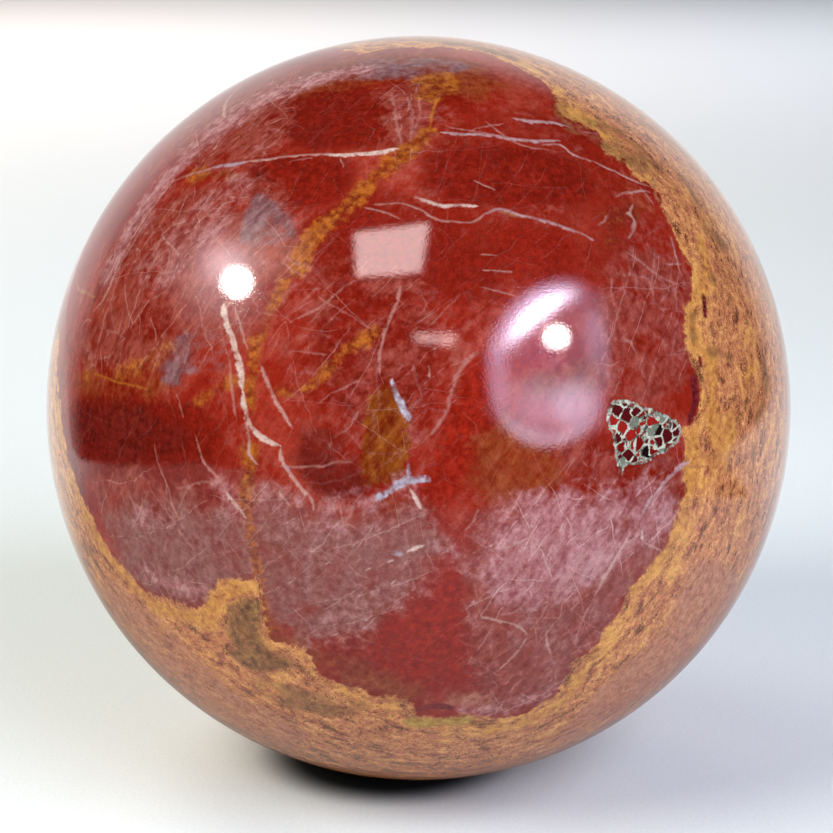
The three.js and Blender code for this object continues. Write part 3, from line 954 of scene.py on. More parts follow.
@dataclass
class StoneNodes:
    """The patterns that make up a stone, each worked out in millimetres from Object coordinates."""

    tree: bpy.types.NodeTree
    place: bpy.types.NodeSocket = field(init=False)

    def __post_init__(self) -> None:
        """Turn Object coordinates, in metres, into millimetres."""
        where = add_node(self.tree, "ShaderNodeTexCoord")
        scaled = add_node(self.tree, "ShaderNodeVectorMath", {0: where.outputs["Object"], "Scale": 1 / MM},
                          operation="SCALE")
        self.place = scaled.outputs["Vector"]

    def mottle(
        self, size: float, detail: float, shift: float, long: float = 1.0, lean: float = 0.0, slant: float = 0.0,
    ) -> bpy.types.NodeSocket:
        """Make a soft random pattern.

        Args:
            size: The width of its spots.
            detail: How many finer patterns it carries.
            shift: Where in the pattern the ball is cut, so that two patterns differ.
            long: How many times as long as wide the spots are.
            lean: How far their long way leans to the right, in degrees.
            slant: How far it then leans away from the front, in degrees.

        Returns:
            Values from 0 to 1.
        """
        cut = add_node(self.tree, "ShaderNodeMapping", {
            "Vector": self.place,
            "Location": (17 * shift, 29 * shift, -23 * shift),
            "Rotation": (math.radians(-slant), math.radians(lean), 0.0),
            "Scale": (size, size, size * long),
        }, vector_type="TEXTURE")
        return add_node(self.tree, "ShaderNodeTexNoise", {
            "Vector": cut.outputs["Vector"], "Scale": 1.0, "Detail": detail, "Roughness": 0.58,
        }).outputs["Fac"]

    def depth(self, name: str) -> bpy.types.NodeSocket:
        """Read a number that the ball's points carry."""
        return add_node(self.tree, "ShaderNodeAttribute", attribute_name=name).outputs["Fac"]

    def steep(self, value: bpy.types.NodeSocket, low: float, high: float) -> bpy.types.NodeSocket:
        """Turn values from low to high into a smooth step from 0 to 1, or down where high is the lower."""
        ends = (low, high, 0.0, 1.0) if low < high else (high, low, 1.0, 0.0)
        return add_node(self.tree, "ShaderNodeMapRange", {
            "Value": value, "From Min": ends[0], "From Max": ends[1], "To Min": ends[2], "To Max": ends[3],
        }, interpolation_type="SMOOTHSTEP").outputs["Result"]

    def sum(self, value: bpy.types.NodeSocket, times: float, plus: object) -> bpy.types.NodeSocket:
        """Multiply a value by a number and add another to it."""
        return add_node(self.tree, "ShaderNodeMath", {0: value, 1: times, 2: plus},
                        operation="MULTIPLY_ADD").outputs[0]

    def product(self, *parts: object) -> bpy.types.NodeSocket:
        """Multiply values with one another."""
        made = parts[0]
        for part in parts[1:]:
            made = add_node(self.tree, "ShaderNodeMath", {0: made, 1: part}, operation="MULTIPLY").outputs[0]
        return made

    def lay(self, below: object, above: object, *cover: object) -> bpy.types.NodeSocket:
        """Lay one colour over another, as far as the product of its covers."""
        tint = linear(above) if isinstance(above, str) else above
        ground = linear(below) if isinstance(below, str) else below
        return add_node(self.tree, "ShaderNodeMix", {0: self.product(*cover), 6: ground, 7: tint},
                        data_type="RGBA").outputs[2]

    def strayed(self, value: bpy.types.NodeSocket, stray: bpy.types.NodeSocket, by: float) -> bpy.types.NodeSocket:
        """Shift a depth up and down by a random pattern, at most by about the given length."""
        return self.sum(stray, 2 * by, self.sum(value, 1.0, -by))

    def threads(self, pattern: bpy.types.NodeSocket, level: float, width: float) -> bpy.types.NodeSocket:
        """Draw the lines along which a soft pattern passes a level.

        Args:
            pattern: The soft pattern.
            level: The value to follow.
            width: How far from that value a line reaches.

        Returns:
            How far a line covers each place.
        """
        apart = add_node(self.tree, "ShaderNodeMath", {0: pattern, 1: level}, operation="SUBTRACT").outputs[0]
        off = add_node(self.tree, "ShaderNodeMath", {0: apart}, operation="ABSOLUTE").outputs[0]
        return self.steep(off, width, 0.25 * width)

    def net(self, size: float, stray: bpy.types.NodeSocket, by: float) -> bpy.types.NodeSocket:
        """Part the stone into rough grains, and tell how far each place is from its grain's edge.

        Args:
            size: A grain's usual size.
            stray: A pattern that makes the edges uneven.
            by: How far the edges stray, in millimetres.

        Returns:
            The distance from the nearest edge, in grain sizes.
        """
        shifted = add_node(self.tree, "ShaderNodeVectorMath", {0: self.place, 1: self.product(stray, by)},
                           operation="ADD")
        return add_node(self.tree, "ShaderNodeTexVoronoi", {
            "Vector": shifted.outputs["Vector"], "Scale": 1 / size,
        }, feature="DISTANCE_TO_EDGE").outputs["Distance"]

    def turned(self, cell: float) -> bpy.types.NodeSocket:
        """Give each cell of the stone a small random turn, as three numbers from -0.5 to 0.5.

        Args:
            cell: A cell's usual size.

        Returns:
            The turn at each place, the same all through a cell.
        """
        cells = add_node(self.tree, "ShaderNodeTexVoronoi", {"Vector": self.place, "Scale": 1 / cell})
        return add_node(self.tree, "ShaderNodeVectorMath", {
            0: cells.outputs["Color"], 1: (0.5, 0.5, 0.5),
        }, operation="SUBTRACT").outputs["Vector"]

    def fractures(
        self, rise: float, lean: float, spacing: float, width: float, turn: bpy.types.NodeSocket,
        bend: bpy.types.NodeSocket,
    ) -> bpy.types.NodeSocket:
        """Draw hairlines where a stack of planes cuts the ball, each turned and broken by the cells.

        Args:
            rise: How steeply the lines climb to the right, in degrees.
            lean: How far the planes lean back, in degrees.
            spacing: The usual distance between two planes.
            width: A line's half width.
            turn: The cells' random turns.
            bend: A soft pattern in millimetres by which the planes wave.

        Returns:
            How far a line covers each place.
        """
        up, back = math.radians(rise), math.radians(lean)
        across = (-math.sin(up) * math.cos(back), math.sin(back), math.cos(up) * math.cos(back))
        facing = add_node(self.tree, "ShaderNodeVectorMath", {0: turn, 1: (0.7, 0.7, 0.7), 2: across},
                          operation="MULTIPLY_ADD")
        height = add_node(self.tree, "ShaderNodeVectorMath", {0: self.place, 1: facing.outputs["Vector"]},
                          operation="DOT_PRODUCT").outputs["Value"]
        stack = add_node(self.tree, "ShaderNodeTexVoronoi", {
            "W": self.sum(height, 1 / spacing, self.product(bend, 1 / spacing)), "Scale": 1.0,
        }, voronoi_dimensions="1D", feature="DISTANCE_TO_EDGE")
        return self.steep(stack.outputs["Distance"], width / spacing, 0.2 * width / spacing)


@dataclass(frozen=True)
class PolishedJasper:
    """Polished red jasper: quartz too fine-grained to see, coloured right through by iron.

    Hematite gives the reds and goethite the ochres; cracks healed with clear quartz show milky pink. It
    is ground and polished to a wet-looking gloss, with pin-sized pits where the softer ochre broke out.
    """

    name: str = "Polished red jasper"
    ior: float = 1.54
    gloss_roughness: float = 0.05
    reds: tuple[tuple[float, str], ...] = ((0.38, "#6c1208"), (0.5, "#841e12"), (0.62, "#983628"))
    haze: str = "#a2584c"
    hairline: str = "#b07a76"
    hairline_pale: str = "#c79c92"
    speck: str = "#300a0a"
    tans: tuple[tuple[float, str], ...] = ((0.37, "#713424"), (0.47, "#a35b40"), (0.54, "#b86f49"), (0.64, "#d59462"))
    rind_ochre: tuple[str, str] = ("#985526", "#cf8f44")
    rind_thread: str = "#d89f54"
    rind_speck: str = "#4c2a18"
    # The near-black first stop is painted shade standing for the pocket's small holes; the others are the pocket's
    # stones.
    pocket_stones_and_hole_shade: tuple[tuple[float, str], ...] = (
        (0.0, "#1c0a0a"), (0.1, "#4a0d10"), (0.36, "#6c100e"), (0.6, "#8a1c18"), (0.9, "#6d6e5e"))
    pocket_cement: tuple[str, str] = ("#3f4237", "#b5b09c")
    tones: tuple[str, ...] = (
        "#c4a396", "#b3857a", "#a66b62", "#ac8886", "#968a98", "#a86020", "#9a5f44", "#2c0d0c")

    def build(self, sheets: int) -> bpy.types.Material:
        """Make the material.

        Args:
            sheets: How many sheets of veins the ball carries.

        Returns:
            The material.
        """
        material = bpy.data.materials.new(self.name)
        material.use_nodes = True
        tree = material.node_tree
        tree.nodes.clear()
        stone = StoneNodes(tree)
        stray = stone.mottle(4.4, 7.0, 1.0)
        fine = stone.mottle(1.0, 3.0, 2.0)
        ragged = stone.sum(fine, 0.3, stone.product(stray, 0.7))
        streak = stone.sum(stone.mottle(1.2, 5.0, 3.0, 1.5), 0.5, stone.product(
            stone.mottle(1.1, 5.0, 7.0, 8.0, 38.0, 6.0), 0.5))
        cloud = stone.mottle(10.0, 3.0, 4.0)
        grit = stone.mottle(0.36, 2.0, 5.0)
        colour = self.core(stone, stray, streak, cloud)
        colour = self.minerals(stone, colour, ragged, streak, fine, over_rind=False)
        colour = self.cracks(stone, colour, stray, streak, cloud)
        dots = stone.steep(grit, 0.64, 0.72)
        colour = stone.lay(colour, self.speck, dots, stone.steep(cloud, 0.42, 0.58), 0.7)
        edge = stone.strayed(stone.depth("rind"), ragged, 3.6)
        in_rind = stone.steep(edge, -0.3, 0.3)
        colour = stone.lay(colour, self.rind(stone, fine, cloud), in_rind)
        colour = self.minerals(stone, colour, ragged, streak, fine, over_rind=True)
        colour = self.pocket(stone, colour, fine)
        colour = self.veins(stone, colour, stray, fine, sheets)
        grain = add_node(tree, "ShaderNodeHueSaturation", {
            "Color": colour, "Value": stone.sum(fine, 0.5, stone.sum(grit, 0.9, 0.3)),
        })
        shader = add_node(tree, "ShaderNodeBsdfPrincipled", {
            "Base Color": grain.outputs["Color"],
            "Roughness": self.gloss(stone, in_rind, cloud),
            "IOR": self.ior,
            "Normal": self.relief(stone),
        })
        add_node(tree, "ShaderNodeOutputMaterial", {"Surface": shader.outputs["BSDF"]})
        return material

    def core(
        self, stone: StoneNodes, stray: bpy.types.NodeSocket, streak: bpy.types.NodeSocket,
        cloud: bpy.types.NodeSocket,
    ) -> bpy.types.NodeSocket:
        """Colour the plain red core, with its slow change of depth and its milky haze."""
        slow = stone.mottle(19.0, 1.0, 6.0)
        level = stone.sum(streak, 0.3, stone.sum(stray, 0.3, stone.product(slow, 0.4)))
        shade = add_node(stone.tree, "ShaderNodeValToRGB", {0: level})
        set_stops(shade, self.reds)
        haze = stone.steep(streak, 0.42, 0.72)
        return stone.lay(shade.outputs["Color"], self.haze, haze, stone.steep(cloud, 0.4, 0.6), 0.55)

    def minerals(
        self, stone: StoneNodes, colour: bpy.types.NodeSocket, ragged: bpy.types.NodeSocket,
        streak: bpy.types.NodeSocket, fine: bpy.types.NodeSocket, over_rind: bool,
    ) -> bpy.types.NodeSocket:
        """Lay the patches and bands of each mineral, mottled between its two colours."""
        streaked = stone.steep(streak, 0.3, 0.7)
        spotted = stone.steep(stone.sum(fine, 0.5, stone.product(ragged, 0.5)), 0.34, 0.66)
        for mineral in Mineral:
            paint = mineral.value
            if paint.over_rind == over_rind:
                shades, gaps = (streaked, spotted) if paint.streaked else (spotted, streaked)
                hue = stone.lay(paint.dark, paint.light, shades)
                depth = stone.strayed(stone.depth(mineral.name.lower()), ragged, paint.stray)
                grains = stone.sum(gaps, 1 - paint.solid, paint.solid)
                colour = stone.lay(colour, hue, stone.steep(depth, -paint.edge / 2, paint.edge / 2), grains)
        return colour

    def cracks(
        self, stone: StoneNodes, colour: bpy.types.NodeSocket, stray: bpy.types.NodeSocket,
        streak: bpy.types.NodeSocket, cloud: bpy.types.NodeSocket,
    ) -> bpy.types.NodeSocket:
        """Lay healed hairline cracks and nets of pale seams, closest and palest where the stone is mauve."""
        mauve = stone.steep(stone.depth("mauve"), -2.5, 1.5)
        veil = stone.steep(stone.depth("veil"), -2.0, 1.0)
        wide = stone.turned(24.0)
        bend = stone.sum(stray, 0.9, stone.product(cloud, 3.0))
        here, there = stone.steep(stray, 0.42, 0.58), stone.steep(stray, 0.56, 0.42)
        spread, streaky = stone.steep(cloud, 0.42, 0.6), stone.steep(streak, 0.42, 0.56)
        strength = stone.sum(veil, 0.4, stone.sum(mauve, 0.22, 0.05))
        for rise, lean, spacing, width, place, pale in (
            (57.0, 12.0, 5.0, 0.12, here, 1.0), (-66.0, -8.0, 7.0, 0.11, there, 0.9),
            (-12.0, 20.0, 9.0, 0.1, spread, 0.8), (38.0, -14.0, 6.0, 0.11, streaky, 1.0),
        ):
            line = stone.fractures(rise, lean, spacing, width, wide, bend)
            colour = stone.lay(colour, self.hairline_pale, line, place, strength, pale)
        net = stone.net(4.2, stray, 3.0)
        seam = stone.product(stone.steep(net, 0.07, 0.0), stone.steep(streak, 0.36, 0.6))
        colour = stone.lay(colour, self.hairline, seam, stone.sum(mauve, 0.9, 0.1), spread, 0.36)
        milk = stone.steep(stone.sum(streak, 0.6, stone.product(stray, 0.4)), 0.5, 0.62)
        return stone.lay(colour, self.hairline, milk, veil, 0.45)

    def rind(
        self, stone: StoneNodes, fine: bpy.types.NodeSocket, cloud: bpy.types.NodeSocket,
    ) -> bpy.types.NodeSocket:
        """Colour the rind: mauve-tan, threaded and patched with ochre that runs along the core's edge."""
        deep = stone.depth("rind")
        ways = add_node(stone.tree, "ShaderNodeVectorMath", {0: stone.place, "Scale": 1 / 3.6}, operation="SCALE")
        layered = add_node(stone.tree, "ShaderNodeTexNoise", {
            "Vector": ways.outputs["Vector"], "W": stone.product(deep, 1 / 1.7), "Scale": 1.0, "Detail": 6.0,
            "Roughness": 0.68,
        }, noise_dimensions="4D").outputs["Fac"]
        tan = add_node(stone.tree, "ShaderNodeValToRGB", {0: stone.sum(layered, 0.7, stone.product(fine, 0.3))})
        set_stops(tan, self.tans)
        near = stone.steep(deep, 7.5, 0.5)
        rich = stone.sum(near, 0.08, stone.sum(cloud, 0.4, stone.product(layered, 0.55)))
        ochre = stone.lay(*self.rind_ochre, stone.steep(layered, 0.4, 0.58))
        colour = stone.lay(tan.outputs["Color"], ochre, stone.steep(rich, 0.5, 0.62), 0.68)
        fibres = add_node(stone.tree, "ShaderNodeTexNoise", {
            "Vector": stone.place, "W": stone.product(deep, 1 / 1.6), "Scale": 1 / 2.3, "Detail": 2.5,
            "Roughness": 0.55,
        }, noise_dimensions="4D").outputs["Fac"]
        for level, width, cover in ((0.4, 0.011, 0.55), (0.46, 0.01, 0.75), (0.52, 0.011, 0.7), (0.58, 0.011, 0.6)):
            colour = stone.lay(colour, self.rind_thread, stone.threads(fibres, level, width), cover)
        specks = stone.steep(stone.mottle(0.6, 2.0, 9.0, 2.6), 0.59, 0.66)
        colour = stone.lay(colour, self.rind_speck, specks, stone.steep(cloud, 0.6, 0.44), 0.8)
        dark = stone.product(stone.steep(layered, 0.45, 0.38), stone.steep(fine, 0.36, 0.54))
        colour = stone.lay(colour, self.rind_speck, dark, stone.steep(cloud, 0.36, 0.54), 0.68)
        seams = stone.threads(fibres, 0.43, 0.012)
        return stone.lay(colour, self.rind_speck, seams, stone.steep(fine, 0.48, 0.6), 0.6)

    def pocket(
        self, stone: StoneNodes, colour: bpy.types.NodeSocket, fine: bpy.types.NodeSocket,
    ) -> bpy.types.NodeSocket:
        """Fill the small pocket with broken red stones in a pale grey-green cement; its near-black stones are painted
        shade that stands for small holes.
        """
        size = 1.55
        shifted = add_node(stone.tree, "ShaderNodeVectorMath", {
            0: stone.place, 1: stone.product(fine, 1.1),
        }, operation="ADD")
        spots = {"Vector": shifted.outputs["Vector"], "Scale": 1 / size}
        gaps = add_node(stone.tree, "ShaderNodeTexVoronoi", spots, feature="DISTANCE_TO_EDGE")
        stones = add_node(stone.tree, "ShaderNodeTexVoronoi", spots, feature="F1")
        kind = add_node(stone.tree, "ShaderNodeSeparateColor", {0: stones.outputs["Color"]})
        stone_hue = add_node(stone.tree, "ShaderNodeValToRGB", {0: kind.outputs[0]})
        stone_hue.color_ramp.interpolation = "CONSTANT"
        set_stops(stone_hue, self.pocket_stones_and_hole_shade)
        depth = stone.strayed(stone.depth("pocket"), fine, 0.5)
        rim = stone.steep(depth, 0.55, 0.35)
        cement = stone.lay(*self.pocket_cement, stone.steep(fine, 0.36, 0.6))
        thin = stone.sum(fine, -0.18, stone.sum(gaps.outputs["Distance"], 1.0, 0.01))
        filled = stone.lay(stone_hue.outputs["Color"], cement, stone.steep(thin, 0.01, -0.03))
        filled = stone.lay(filled, cement, rim, 0.55)
        return stone.lay(colour, filled, stone.steep(depth, -0.08, 0.1))

    def veins(
        self, stone: StoneNodes, colour: bpy.types.NodeSocket, stray: bpy.types.NodeSocket,
        fine: bpy.types.NodeSocket, sheets: int,
    ) -> bpy.types.NodeSocket:
        """Lay every sheet of drawn veins, wandering a little and swelling and thinning as they run."""
        wander = stone.sum(fine, 0.45, stone.sum(stray, 1.2, -0.82))
        swell = stone.sum(fine, 1.6, stone.sum(stray, 0.9, -0.45))
        broken = stone.sum(stone.steep(stray, 0.38, 0.54), 0.35, stone.sum(stone.steep(fine, 0.34, 0.52), 0.3, 0.35))
        for number in range(sheets):
            sheet = add_node(stone.tree, "ShaderNodeAttribute", attribute_name=f"veins_{number}")
            parts = add_node(stone.tree, "ShaderNodeSeparateColor", {0: sheet.outputs["Color"]})
            strayed = add_node(stone.tree, "ShaderNodeMath", {0: parts.outputs[0], 1: wander}).outputs[0]
            off = add_node(stone.tree, "ShaderNodeMath", {0: strayed}, operation="ABSOLUTE").outputs[0]
            wide = stone.product(parts.outputs[1], swell)
            over = add_node(stone.tree, "ShaderNodeMath", {0: wide, 1: off}, operation="SUBTRACT").outputs[0]
            tone = add_node(stone.tree, "ShaderNodeValToRGB", {0: stone.product(parts.outputs[2], 1 / 7)})
            set_stops(tone, tuple((i / 7, hue) for i, hue in enumerate(self.tones)))
            colour = stone.lay(colour, tone.outputs["Color"], stone.steep(over, -0.2, 0.16),
                               sheet.outputs["Alpha"], broken)
        return colour

    def gloss(
        self, stone: StoneNodes, in_rind: bpy.types.NodeSocket, cloud: bpy.types.NodeSocket,
    ) -> bpy.types.NodeSocket:
        """Give the polish, a little duller on the softer rind and ochre, and faintly uneven."""
        wiped = stone.sum(cloud, 0.03, self.gloss_roughness - 0.015)
        ochre = stone.steep(stone.depth("ochre"), -0.4, 0.4)
        return stone.sum(ochre, 0.07, stone.sum(in_rind, 0.04, wiped))

    def relief(self, stone: StoneNodes) -> bpy.types.NodeSocket:
        """Give the faint orange-peel of a hand polish, and pits in the ochre and the rind."""
        peel = stone.mottle(0.34, 2.0, 10.0)
        pits = stone.steep(peel, 0.34, 0.26)
        soft = stone.sum(stone.steep(stone.depth("ochre"), -0.4, 0.4), 0.7,
                         stone.sum(stone.steep(stone.depth("rind"), -0.2, 0.2), 0.4, 0.1))
        height = stone.sum(peel, 0.35, stone.product(pits, soft, -1.0))
        return add_node(stone.tree, "ShaderNodeBump", {
            "Strength": 0.5, "Distance": 0.04 * MM, "Height": height,
        }).outputs["Normal"]


@dataclass(frozen=True)
class LightPanel:
    """A lit panel in the room, placed where the polished ball mirrors it in the photograph.

    An ellipse is given by its middle and half sizes in pixels, a four-cornered one by its corners, and a
    curved strip by its middle line and its half width. Its light may fade towards its edge. It is only
    mirrored: the lamps do the lighting.
    """

    name: str
    colour: str
    strength: float
    middle: tuple[float, float] = (0.0, 0.0)
    half: tuple[float, float] = (0.0, 0.0)
    corners: Points = ()
    strip: Points = ()
    distance: float = 900.0
    steps: int = 6
    fade: float = 0.0

    def lie(self, spread: np.ndarray) -> tuple[np.ndarray, np.ndarray]:
        """Turn places on the panel, from -1 to 1 each way, into pixels and into parts of its half size."""
        u, v = spread[:, 0], spread[:, 1]
        if self.corners:
            a, b, c, d = (np.array(corner, float) for corner in self.corners)
            s, t = ((u + 1) / 2)[:, None], ((v + 1) / 2)[:, None]
            return (1 - s) * (1 - t) * a + s * (1 - t) * b + s * t * c + (1 - s) * t * d, spread
        if self.strip:
            line = np.array(self.strip, float)
            along = np.concatenate([[0.0], np.cumsum(np.linalg.norm(np.diff(line, axis=0), axis=1))])
            bend = [np.polyfit(along / along[-1] * 2 - 1, line[:, axis], 3) for axis in (0, 1)]
            middle = np.stack([np.polyval(part, u) for part in bend], axis=1)
            run = np.stack([np.polyval(np.polyder(part), u) for part in bend], axis=1)
            run /= np.linalg.norm(run, axis=1, keepdims=True)
            return middle + v[:, None] * self.half[0] * np.stack([-run[:, 1], run[:, 0]], axis=1), spread
        across = np.stack([u * np.sqrt(1 - v * v / 2), v * np.sqrt(1 - u * u / 2)], axis=1)
        return np.array(self.middle) + across * np.array(self.half), across

    def build(self, view: PhotoView) -> bpy.types.Object:
        """Make the panel.

        Args:
            view: The photograph's camera.

        Returns:
            The panel, which only the ball's polish shows.
        """
        bpy.ops.object.select_all(action="DESELECT")
        bpy.ops.mesh.primitive_grid_add(x_subdivisions=self.steps, y_subdivisions=self.steps, size=2)
        panel = bpy.context.object
        panel.name = self.name
        flat = np.empty(3 * len(panel.data.vertices))
        panel.data.vertices.foreach_get("co", flat)
        pixels, across = self.lie(flat.reshape(-1, 3)[:, :2])
        places = (view.mirrored(pixels, self.distance) + np.array([0, 0, view.centre_height])) * MM
        panel.data.vertices.foreach_set("co", places.ravel())
        layer = panel.data.attributes.new("across", "FLOAT_VECTOR", "POINT")
        layer.data.foreach_set("vector", np.pad(across, ((0, 0), (0, 1))).astype(np.float32).ravel())
        panel.data.update()
        panel.data.materials.append(self.glow())
        panel.visible_camera = panel.visible_shadow = panel.visible_diffuse = False
        return panel

    def glow(self) -> bpy.types.Material:
        """Make the panel's light, even or fading towards its edge."""
        material = bpy.data.materials.new(self.name)
        material.use_nodes = True
        tree = material.node_tree
        tree.nodes.clear()
        across = add_node(tree, "ShaderNodeAttribute", attribute_name="across")
        far = add_node(tree, "ShaderNodeVectorMath", {0: across.outputs["Vector"]}, operation="LENGTH")
        level = add_node(tree, "ShaderNodeMapRange", {
            "Value": far.outputs["Value"], "From Min": 1.0, "From Max": 1.0 - self.fade,
            "To Min": 0.0 if self.fade else self.strength, "To Max": self.strength,
        }, interpolation_type="SMOOTHSTEP")
        shine = add_node(tree, "ShaderNodeEmission", {
            "Color": linear(self.colour), "Strength": level.outputs["Result"],
        })
        clear = add_node(tree, "ShaderNodeBsdfTransparent")
        both = add_node(tree, "ShaderNodeAddShader", {0: shine.outputs[0], 1: clear.outputs[0]})
        add_node(tree, "ShaderNodeOutputMaterial", {"Surface": both.outputs[0]})
        return material


@dataclass(frozen=True)
class Lamp:
    """A round lamp that lights the stone and the table, without showing in the polish.

    It stands where two angles say, in degrees round from the front to the right and up from level, at a
    distance in metres from a point on the table, and it shines at that point.
    """

    name: str
    colour: str
    watts: float
    round_: float
    up: float
    distance: float = 0.95
    size: float = 0.26
    aim: tuple[float, float, float] = (0.0, 0.0, 0.0)

    def build(self) -> None:
        """Make the lamp."""
        away = Vector(compass(((self.round_, self.up),))[0])
        bpy.ops.object.light_add(type="AREA", location=Vector(self.aim) + away * self.distance,
                                 rotation=away.to_track_quat("Z", "Y").to_euler())
        lamp = bpy.context.object
        lamp.name = self.name
        lamp.data.shape = "DISK"
        lamp.data.size = self.size
        lamp.data.energy = self.watts
        lamp.data.color = linear(self.colour)[:3]
        lamp.visible_glossy = False


@dataclass
class Studio:
    """The pale table, with painted light and shade, and the plain pale floor, both with a painted contact shadow; the
    lamps, the panels that the ball mirrors, and the room's light.
    """

    view: PhotoView
    floor_size: float = 12.0
    floor_drop: float = 0.0002
    room_light: str = "#303131"
    dark_room: str = "#130b0d"
    white_wall: str = "#f4f2f1"
    table_edge: Points = (
        (68, 360), (68, 400), (72, 446), (80, 460), (100, 463), (200, 463), (240, 470), (300, 490), (420, 493),
        (520, 487), (600, 491), (700, 495), (750, 497))
    table_back: float = 900.0
    lamps: tuple[Lamp, ...] = (
        Lamp("left_lamp", "#f7fff6", 7.5, -54.0, 40.0, size=0.5),
        Lamp("side_lamp", "#fbfff8", 3.1, 0.0, 90.0, 0.8, 0.6, (-0.5, 0.42, 0.0)),
        Lamp("right_lamp", "#dbe9ff", 11.8, 44.0, 33.0, size=0.8),
        Lamp("far_left_lamp", "#fff0e6", 9.6, 0.0, 90.0, 0.8, 0.8, (-0.45, 1.3, 0.0)),
        Lamp("far_right_lamp", "#d2e5ff", 4.5, 0.0, 90.0, 0.8, 0.8, (0.5, 1.3, 0.0)))
    panels: tuple[LightPanel, ...] = (
        LightPanel("left_bulb", "#fffaf6", 62.0, (237, 282.5), (17.5, 17.5), fade=0.3, steps=10),
        LightPanel("left_glow", "#fff0fa", 6.5, (226, 264), (36, 32), distance=950.0, fade=0.95, steps=10),
        LightPanel("left_haze", "#fff0f2", 3.6, (222, 276), (68, 72), distance=960.0, fade=0.9, steps=10),
        LightPanel("left_cream", "#fff2dc", 1.9, (268, 248), (50, 42), distance=970.0, fade=0.9, steps=10),
        LightPanel("right_screen", "#ccd4ff", 2.1, (548, 366), (66, 84), distance=940.0, fade=0.1, steps=14),
        LightPanel("right_low", "#d8e0ff", 7.4, (578, 406), (36, 40), distance=930.0, fade=0.8, steps=10),
        LightPanel("right_low_left", "#d4daff", 4.6, (540, 406), (50, 40), distance=925.0, fade=0.9, steps=10),
        LightPanel("right_rim", "#dce2ff", 4.6, half=(12, 0), distance=928.0, fade=0.6, steps=16, strip=(
            (494, 398), (506, 420), (526, 436), (548, 440), (572, 434), (596, 416))),
        LightPanel("right_left_edge", "#d0d4ff", 4.2, (499, 382), (16, 54), distance=922.0, fade=0.9, steps=10),
        LightPanel("right_right_edge", "#d4d8ff", 3.4, (596, 332), (20, 54), distance=921.0, fade=0.9, steps=10),
        LightPanel("right_violet", "#902c8c", 1.8, (545, 352), (38, 34), distance=920.0, fade=0.9, steps=8),
        LightPanel("right_bar", "#dcd4ff", 17.0, half=(23, 0), distance=915.0, fade=0.95, steps=20, strip=(
            (486, 374), (500, 347), (523, 321), (550, 300), (576, 290), (602, 308))),
        LightPanel("right_bar_core", "#f4f0ff", 34.0, half=(14, 0), distance=914.0, fade=0.9, steps=20, strip=(
            (498, 353), (513, 335), (532, 317), (552, 303), (570, 293), (586, 290))),
        LightPanel("right_bulb", "#fffaf8", 60.0, (556.5, 337), (15, 14), fade=0.4, steps=10),
        LightPanel("high_window", "#ffeae8", 10.6, corners=((354, 233), (429, 223), (421, 272), (357, 277))),
        LightPanel("small_window", "#ffe2e0", 8.0, corners=((413, 332), (456, 334), (454, 346), (415, 342))),
    )

    def build(self) -> None:
        """Set up everything around the ball."""
        self.floor()
        self.table()
        for part in self.panels:
            part.build(self.view)
        for lamp in self.lamps:
            lamp.build()
        self.room()
        bpy.context.scene.view_settings.view_transform = "Standard"
        log.info("studio: table, floor, %d panels and %d lamps", len(self.panels), len(self.lamps))

    def pale_cloth(self, name: str, dark: str, light: str, spread: float) -> bpy.types.Material:
        """Make a plain cotton cloth with a faint weave, darkened round the ball's foot by a painted contact shadow.

        Where it has a spread, the weave is left out, and painted light and shade make it paler to the right, paler
        still behind the ball and darker towards the front, a little to the right.

        Args:
            name: The material's name.
            dark: The cloth's colour in the weave's gaps, and where painted shade makes it darker.
            light: The cloth's colour on its threads, and where painted light makes it paler.
            spread: How far, in metres, the painted change from dark to pale reaches from the middle each way.

        Returns:
            The material.
        """
        material = bpy.data.materials.new(name)
        material.use_nodes = True
        tree = material.node_tree
        tree.nodes.clear()
        stone = StoneNodes(tree)
        cloth = stone.lay(dark, light, stone.mottle(0.6, 1.0, 3.0))
        # Painted light and shade on the table, which only the ball mirrors: paler to the right and behind the ball,
        # darker towards the front, where less light falls.
        if spread:
            side, behind, _ = add_node(tree, "ShaderNodeSeparateXYZ", {0: stone.place}).outputs
            cloth = stone.lay(dark, light, stone.steep(side, -spread / MM, spread / MM))
            cloth = stone.lay(cloth, "#f0f0f0", stone.steep(behind, 22.0, 110.0))
            front_shade_axis = stone.sum(side, 0.55, stone.product(behind, -0.83))
            cloth = stone.lay(cloth, "#343434", stone.steep(front_shade_axis, 90.0, 270.0))
        # Painted contact shadow: the cloth darkens to #303030 within about 15 mm of a point just left of and in front
        # of the ball's foot, fading out by about 24 mm.
        near = add_node(tree, "ShaderNodeVectorMath", {0: stone.place, 1: (-5.0, -2.0, 0.0)}, operation="DISTANCE")
        cloth = stone.lay(cloth, "#303030", stone.steep(near.outputs["Value"], 23.5, 14.5))
        shader = add_node(tree, "ShaderNodeBsdfPrincipled", {
            "Base Color": cloth, "Roughness": 0.9, "Specular IOR Level": 0.0,
        })
        add_node(tree, "ShaderNodeOutputMaterial", {"Surface": shader.outputs["BSDF"]})
        return material

    def floor(self) -> None:
        """Lay the wide floor, which the ball doesn't mirror, so that the room in front of it stays dark."""
        bpy.ops.object.select_all(action="DESELECT")
        bpy.ops.mesh.primitive_plane_add(size=self.floor_size, location=(0, 0, -self.floor_drop))
        floor = bpy.context.object
        floor.name = "floor"
        floor.visible_glossy = False
        # The floor's cloth carries a painted contact shadow round the ball's foot.
        floor.data.materials.append(self.pale_cloth("White cotton cloth", "#dfe0e0", "#edeeed", 0.0))

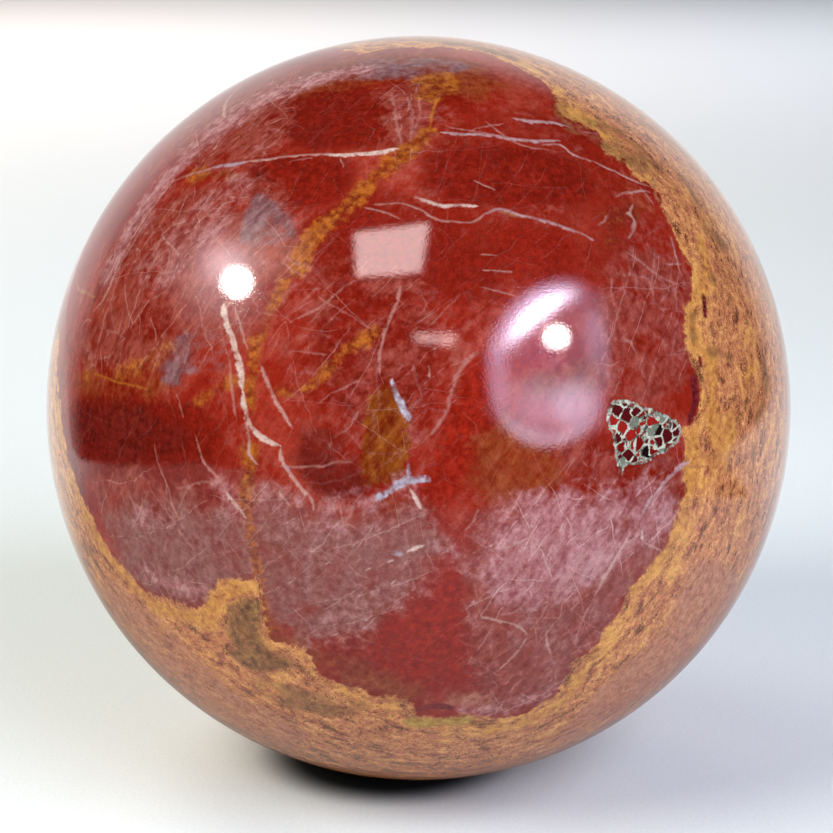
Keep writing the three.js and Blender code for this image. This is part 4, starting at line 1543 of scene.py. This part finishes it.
    def table(self) -> None:
        """Lay the table top, out to the edge that the ball mirrors."""
        pixels = np.asarray(self.table_edge, float)
        normals = self.view.normals(pixels)
        rays = self.view.rays(pixels)
        away = rays - 2 * np.sum(rays * normals, axis=1, keepdims=True) * normals
        start = normals * self.view.ball_radius
        run = (-self.view.centre_height - start[:, 2]) / away[:, 2]
        edge = (start + run[:, None] * away)[away[:, 2] < -0.02]
        back = self.table_back
        corners = [*edge[:, :2], (edge[-1, 0] + 200, 0), (edge[-1, 0] + 200, back), (edge[0, 0] - 20, back)]
        bpy.ops.object.select_all(action="DESELECT")
        bpy.ops.mesh.primitive_circle_add(vertices=len(corners), fill_type="NGON")
        table = bpy.context.object
        table.name = "table"
        places = np.array([(x, y, 0.0) for x, y in corners]) * MM
        table.data.vertices.foreach_set("co", places.ravel())
        table.data.update()
        table.visible_camera = table.visible_diffuse = table.visible_shadow = False
        # The table's cloth carries painted light and shade and a painted contact shadow.
        table.data.materials.append(self.pale_cloth("Shaded cotton cloth", "#8c8d8e", "#c0c1c1", 0.16))
        log.info("table edge %s mm", edge[:, :2].round().tolist())

    def room(self) -> None:
        """Light the room evenly, and let the ball mirror a dark room in front and a white wall behind."""
        world = bpy.data.worlds.new("Studio")
        bpy.context.scene.world = world
        world.use_nodes = True
        tree = world.node_tree
        tree.nodes.clear()
        where = add_node(tree, "ShaderNodeTexCoord")
        behind = add_node(tree, "ShaderNodeVectorMath", {
            0: where.outputs["Generated"], 1: (-0.044, 0.985, -0.167),
        }, operation="DOT_PRODUCT")
        wall = add_node(tree, "ShaderNodeMapRange", {
            "Value": behind.outputs["Value"], "From Min": 0.54, "From Max": 0.8,
        }, interpolation_type="SMOOTHSTEP")
        mirrored = add_node(tree, "ShaderNodeMix", {
            0: wall.outputs["Result"], 6: linear(self.dark_room), 7: linear(self.white_wall),
        }, data_type="RGBA")
        path = add_node(tree, "ShaderNodeLightPath")
        seen = add_node(tree, "ShaderNodeMix", {
            0: path.outputs["Is Glossy Ray"], 6: linear(self.room_light), 7: mirrored.outputs[2],
        }, data_type="RGBA")
        light = add_node(tree, "ShaderNodeBackground", {"Color": seen.outputs[2], "Strength": 1.0})
        add_node(tree, "ShaderNodeOutputWorld", {"Surface": light.outputs[0]})


def main() -> None:
    """Build the ball and its surroundings."""
    logging.basicConfig(level=logging.INFO, format="%(name)s: %(message)s")
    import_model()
    low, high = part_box("jasper_ball")
    radius = (high[0] - low[0]) / 2 / MM
    centre_height = (high[2] - low[2]) / MM - radius
    view = PhotoView(radius, centre_height)
    view.place_camera()
    ball = JasperBall(view)
    piece = ball.build()
    piece.data.materials.append(PolishedJasper().build(ball.vein_sheets))
    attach(piece, "root")
    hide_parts("jasper_ball")
    Studio(view).build()
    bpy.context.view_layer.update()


if __name__ == "__main__":
    main()
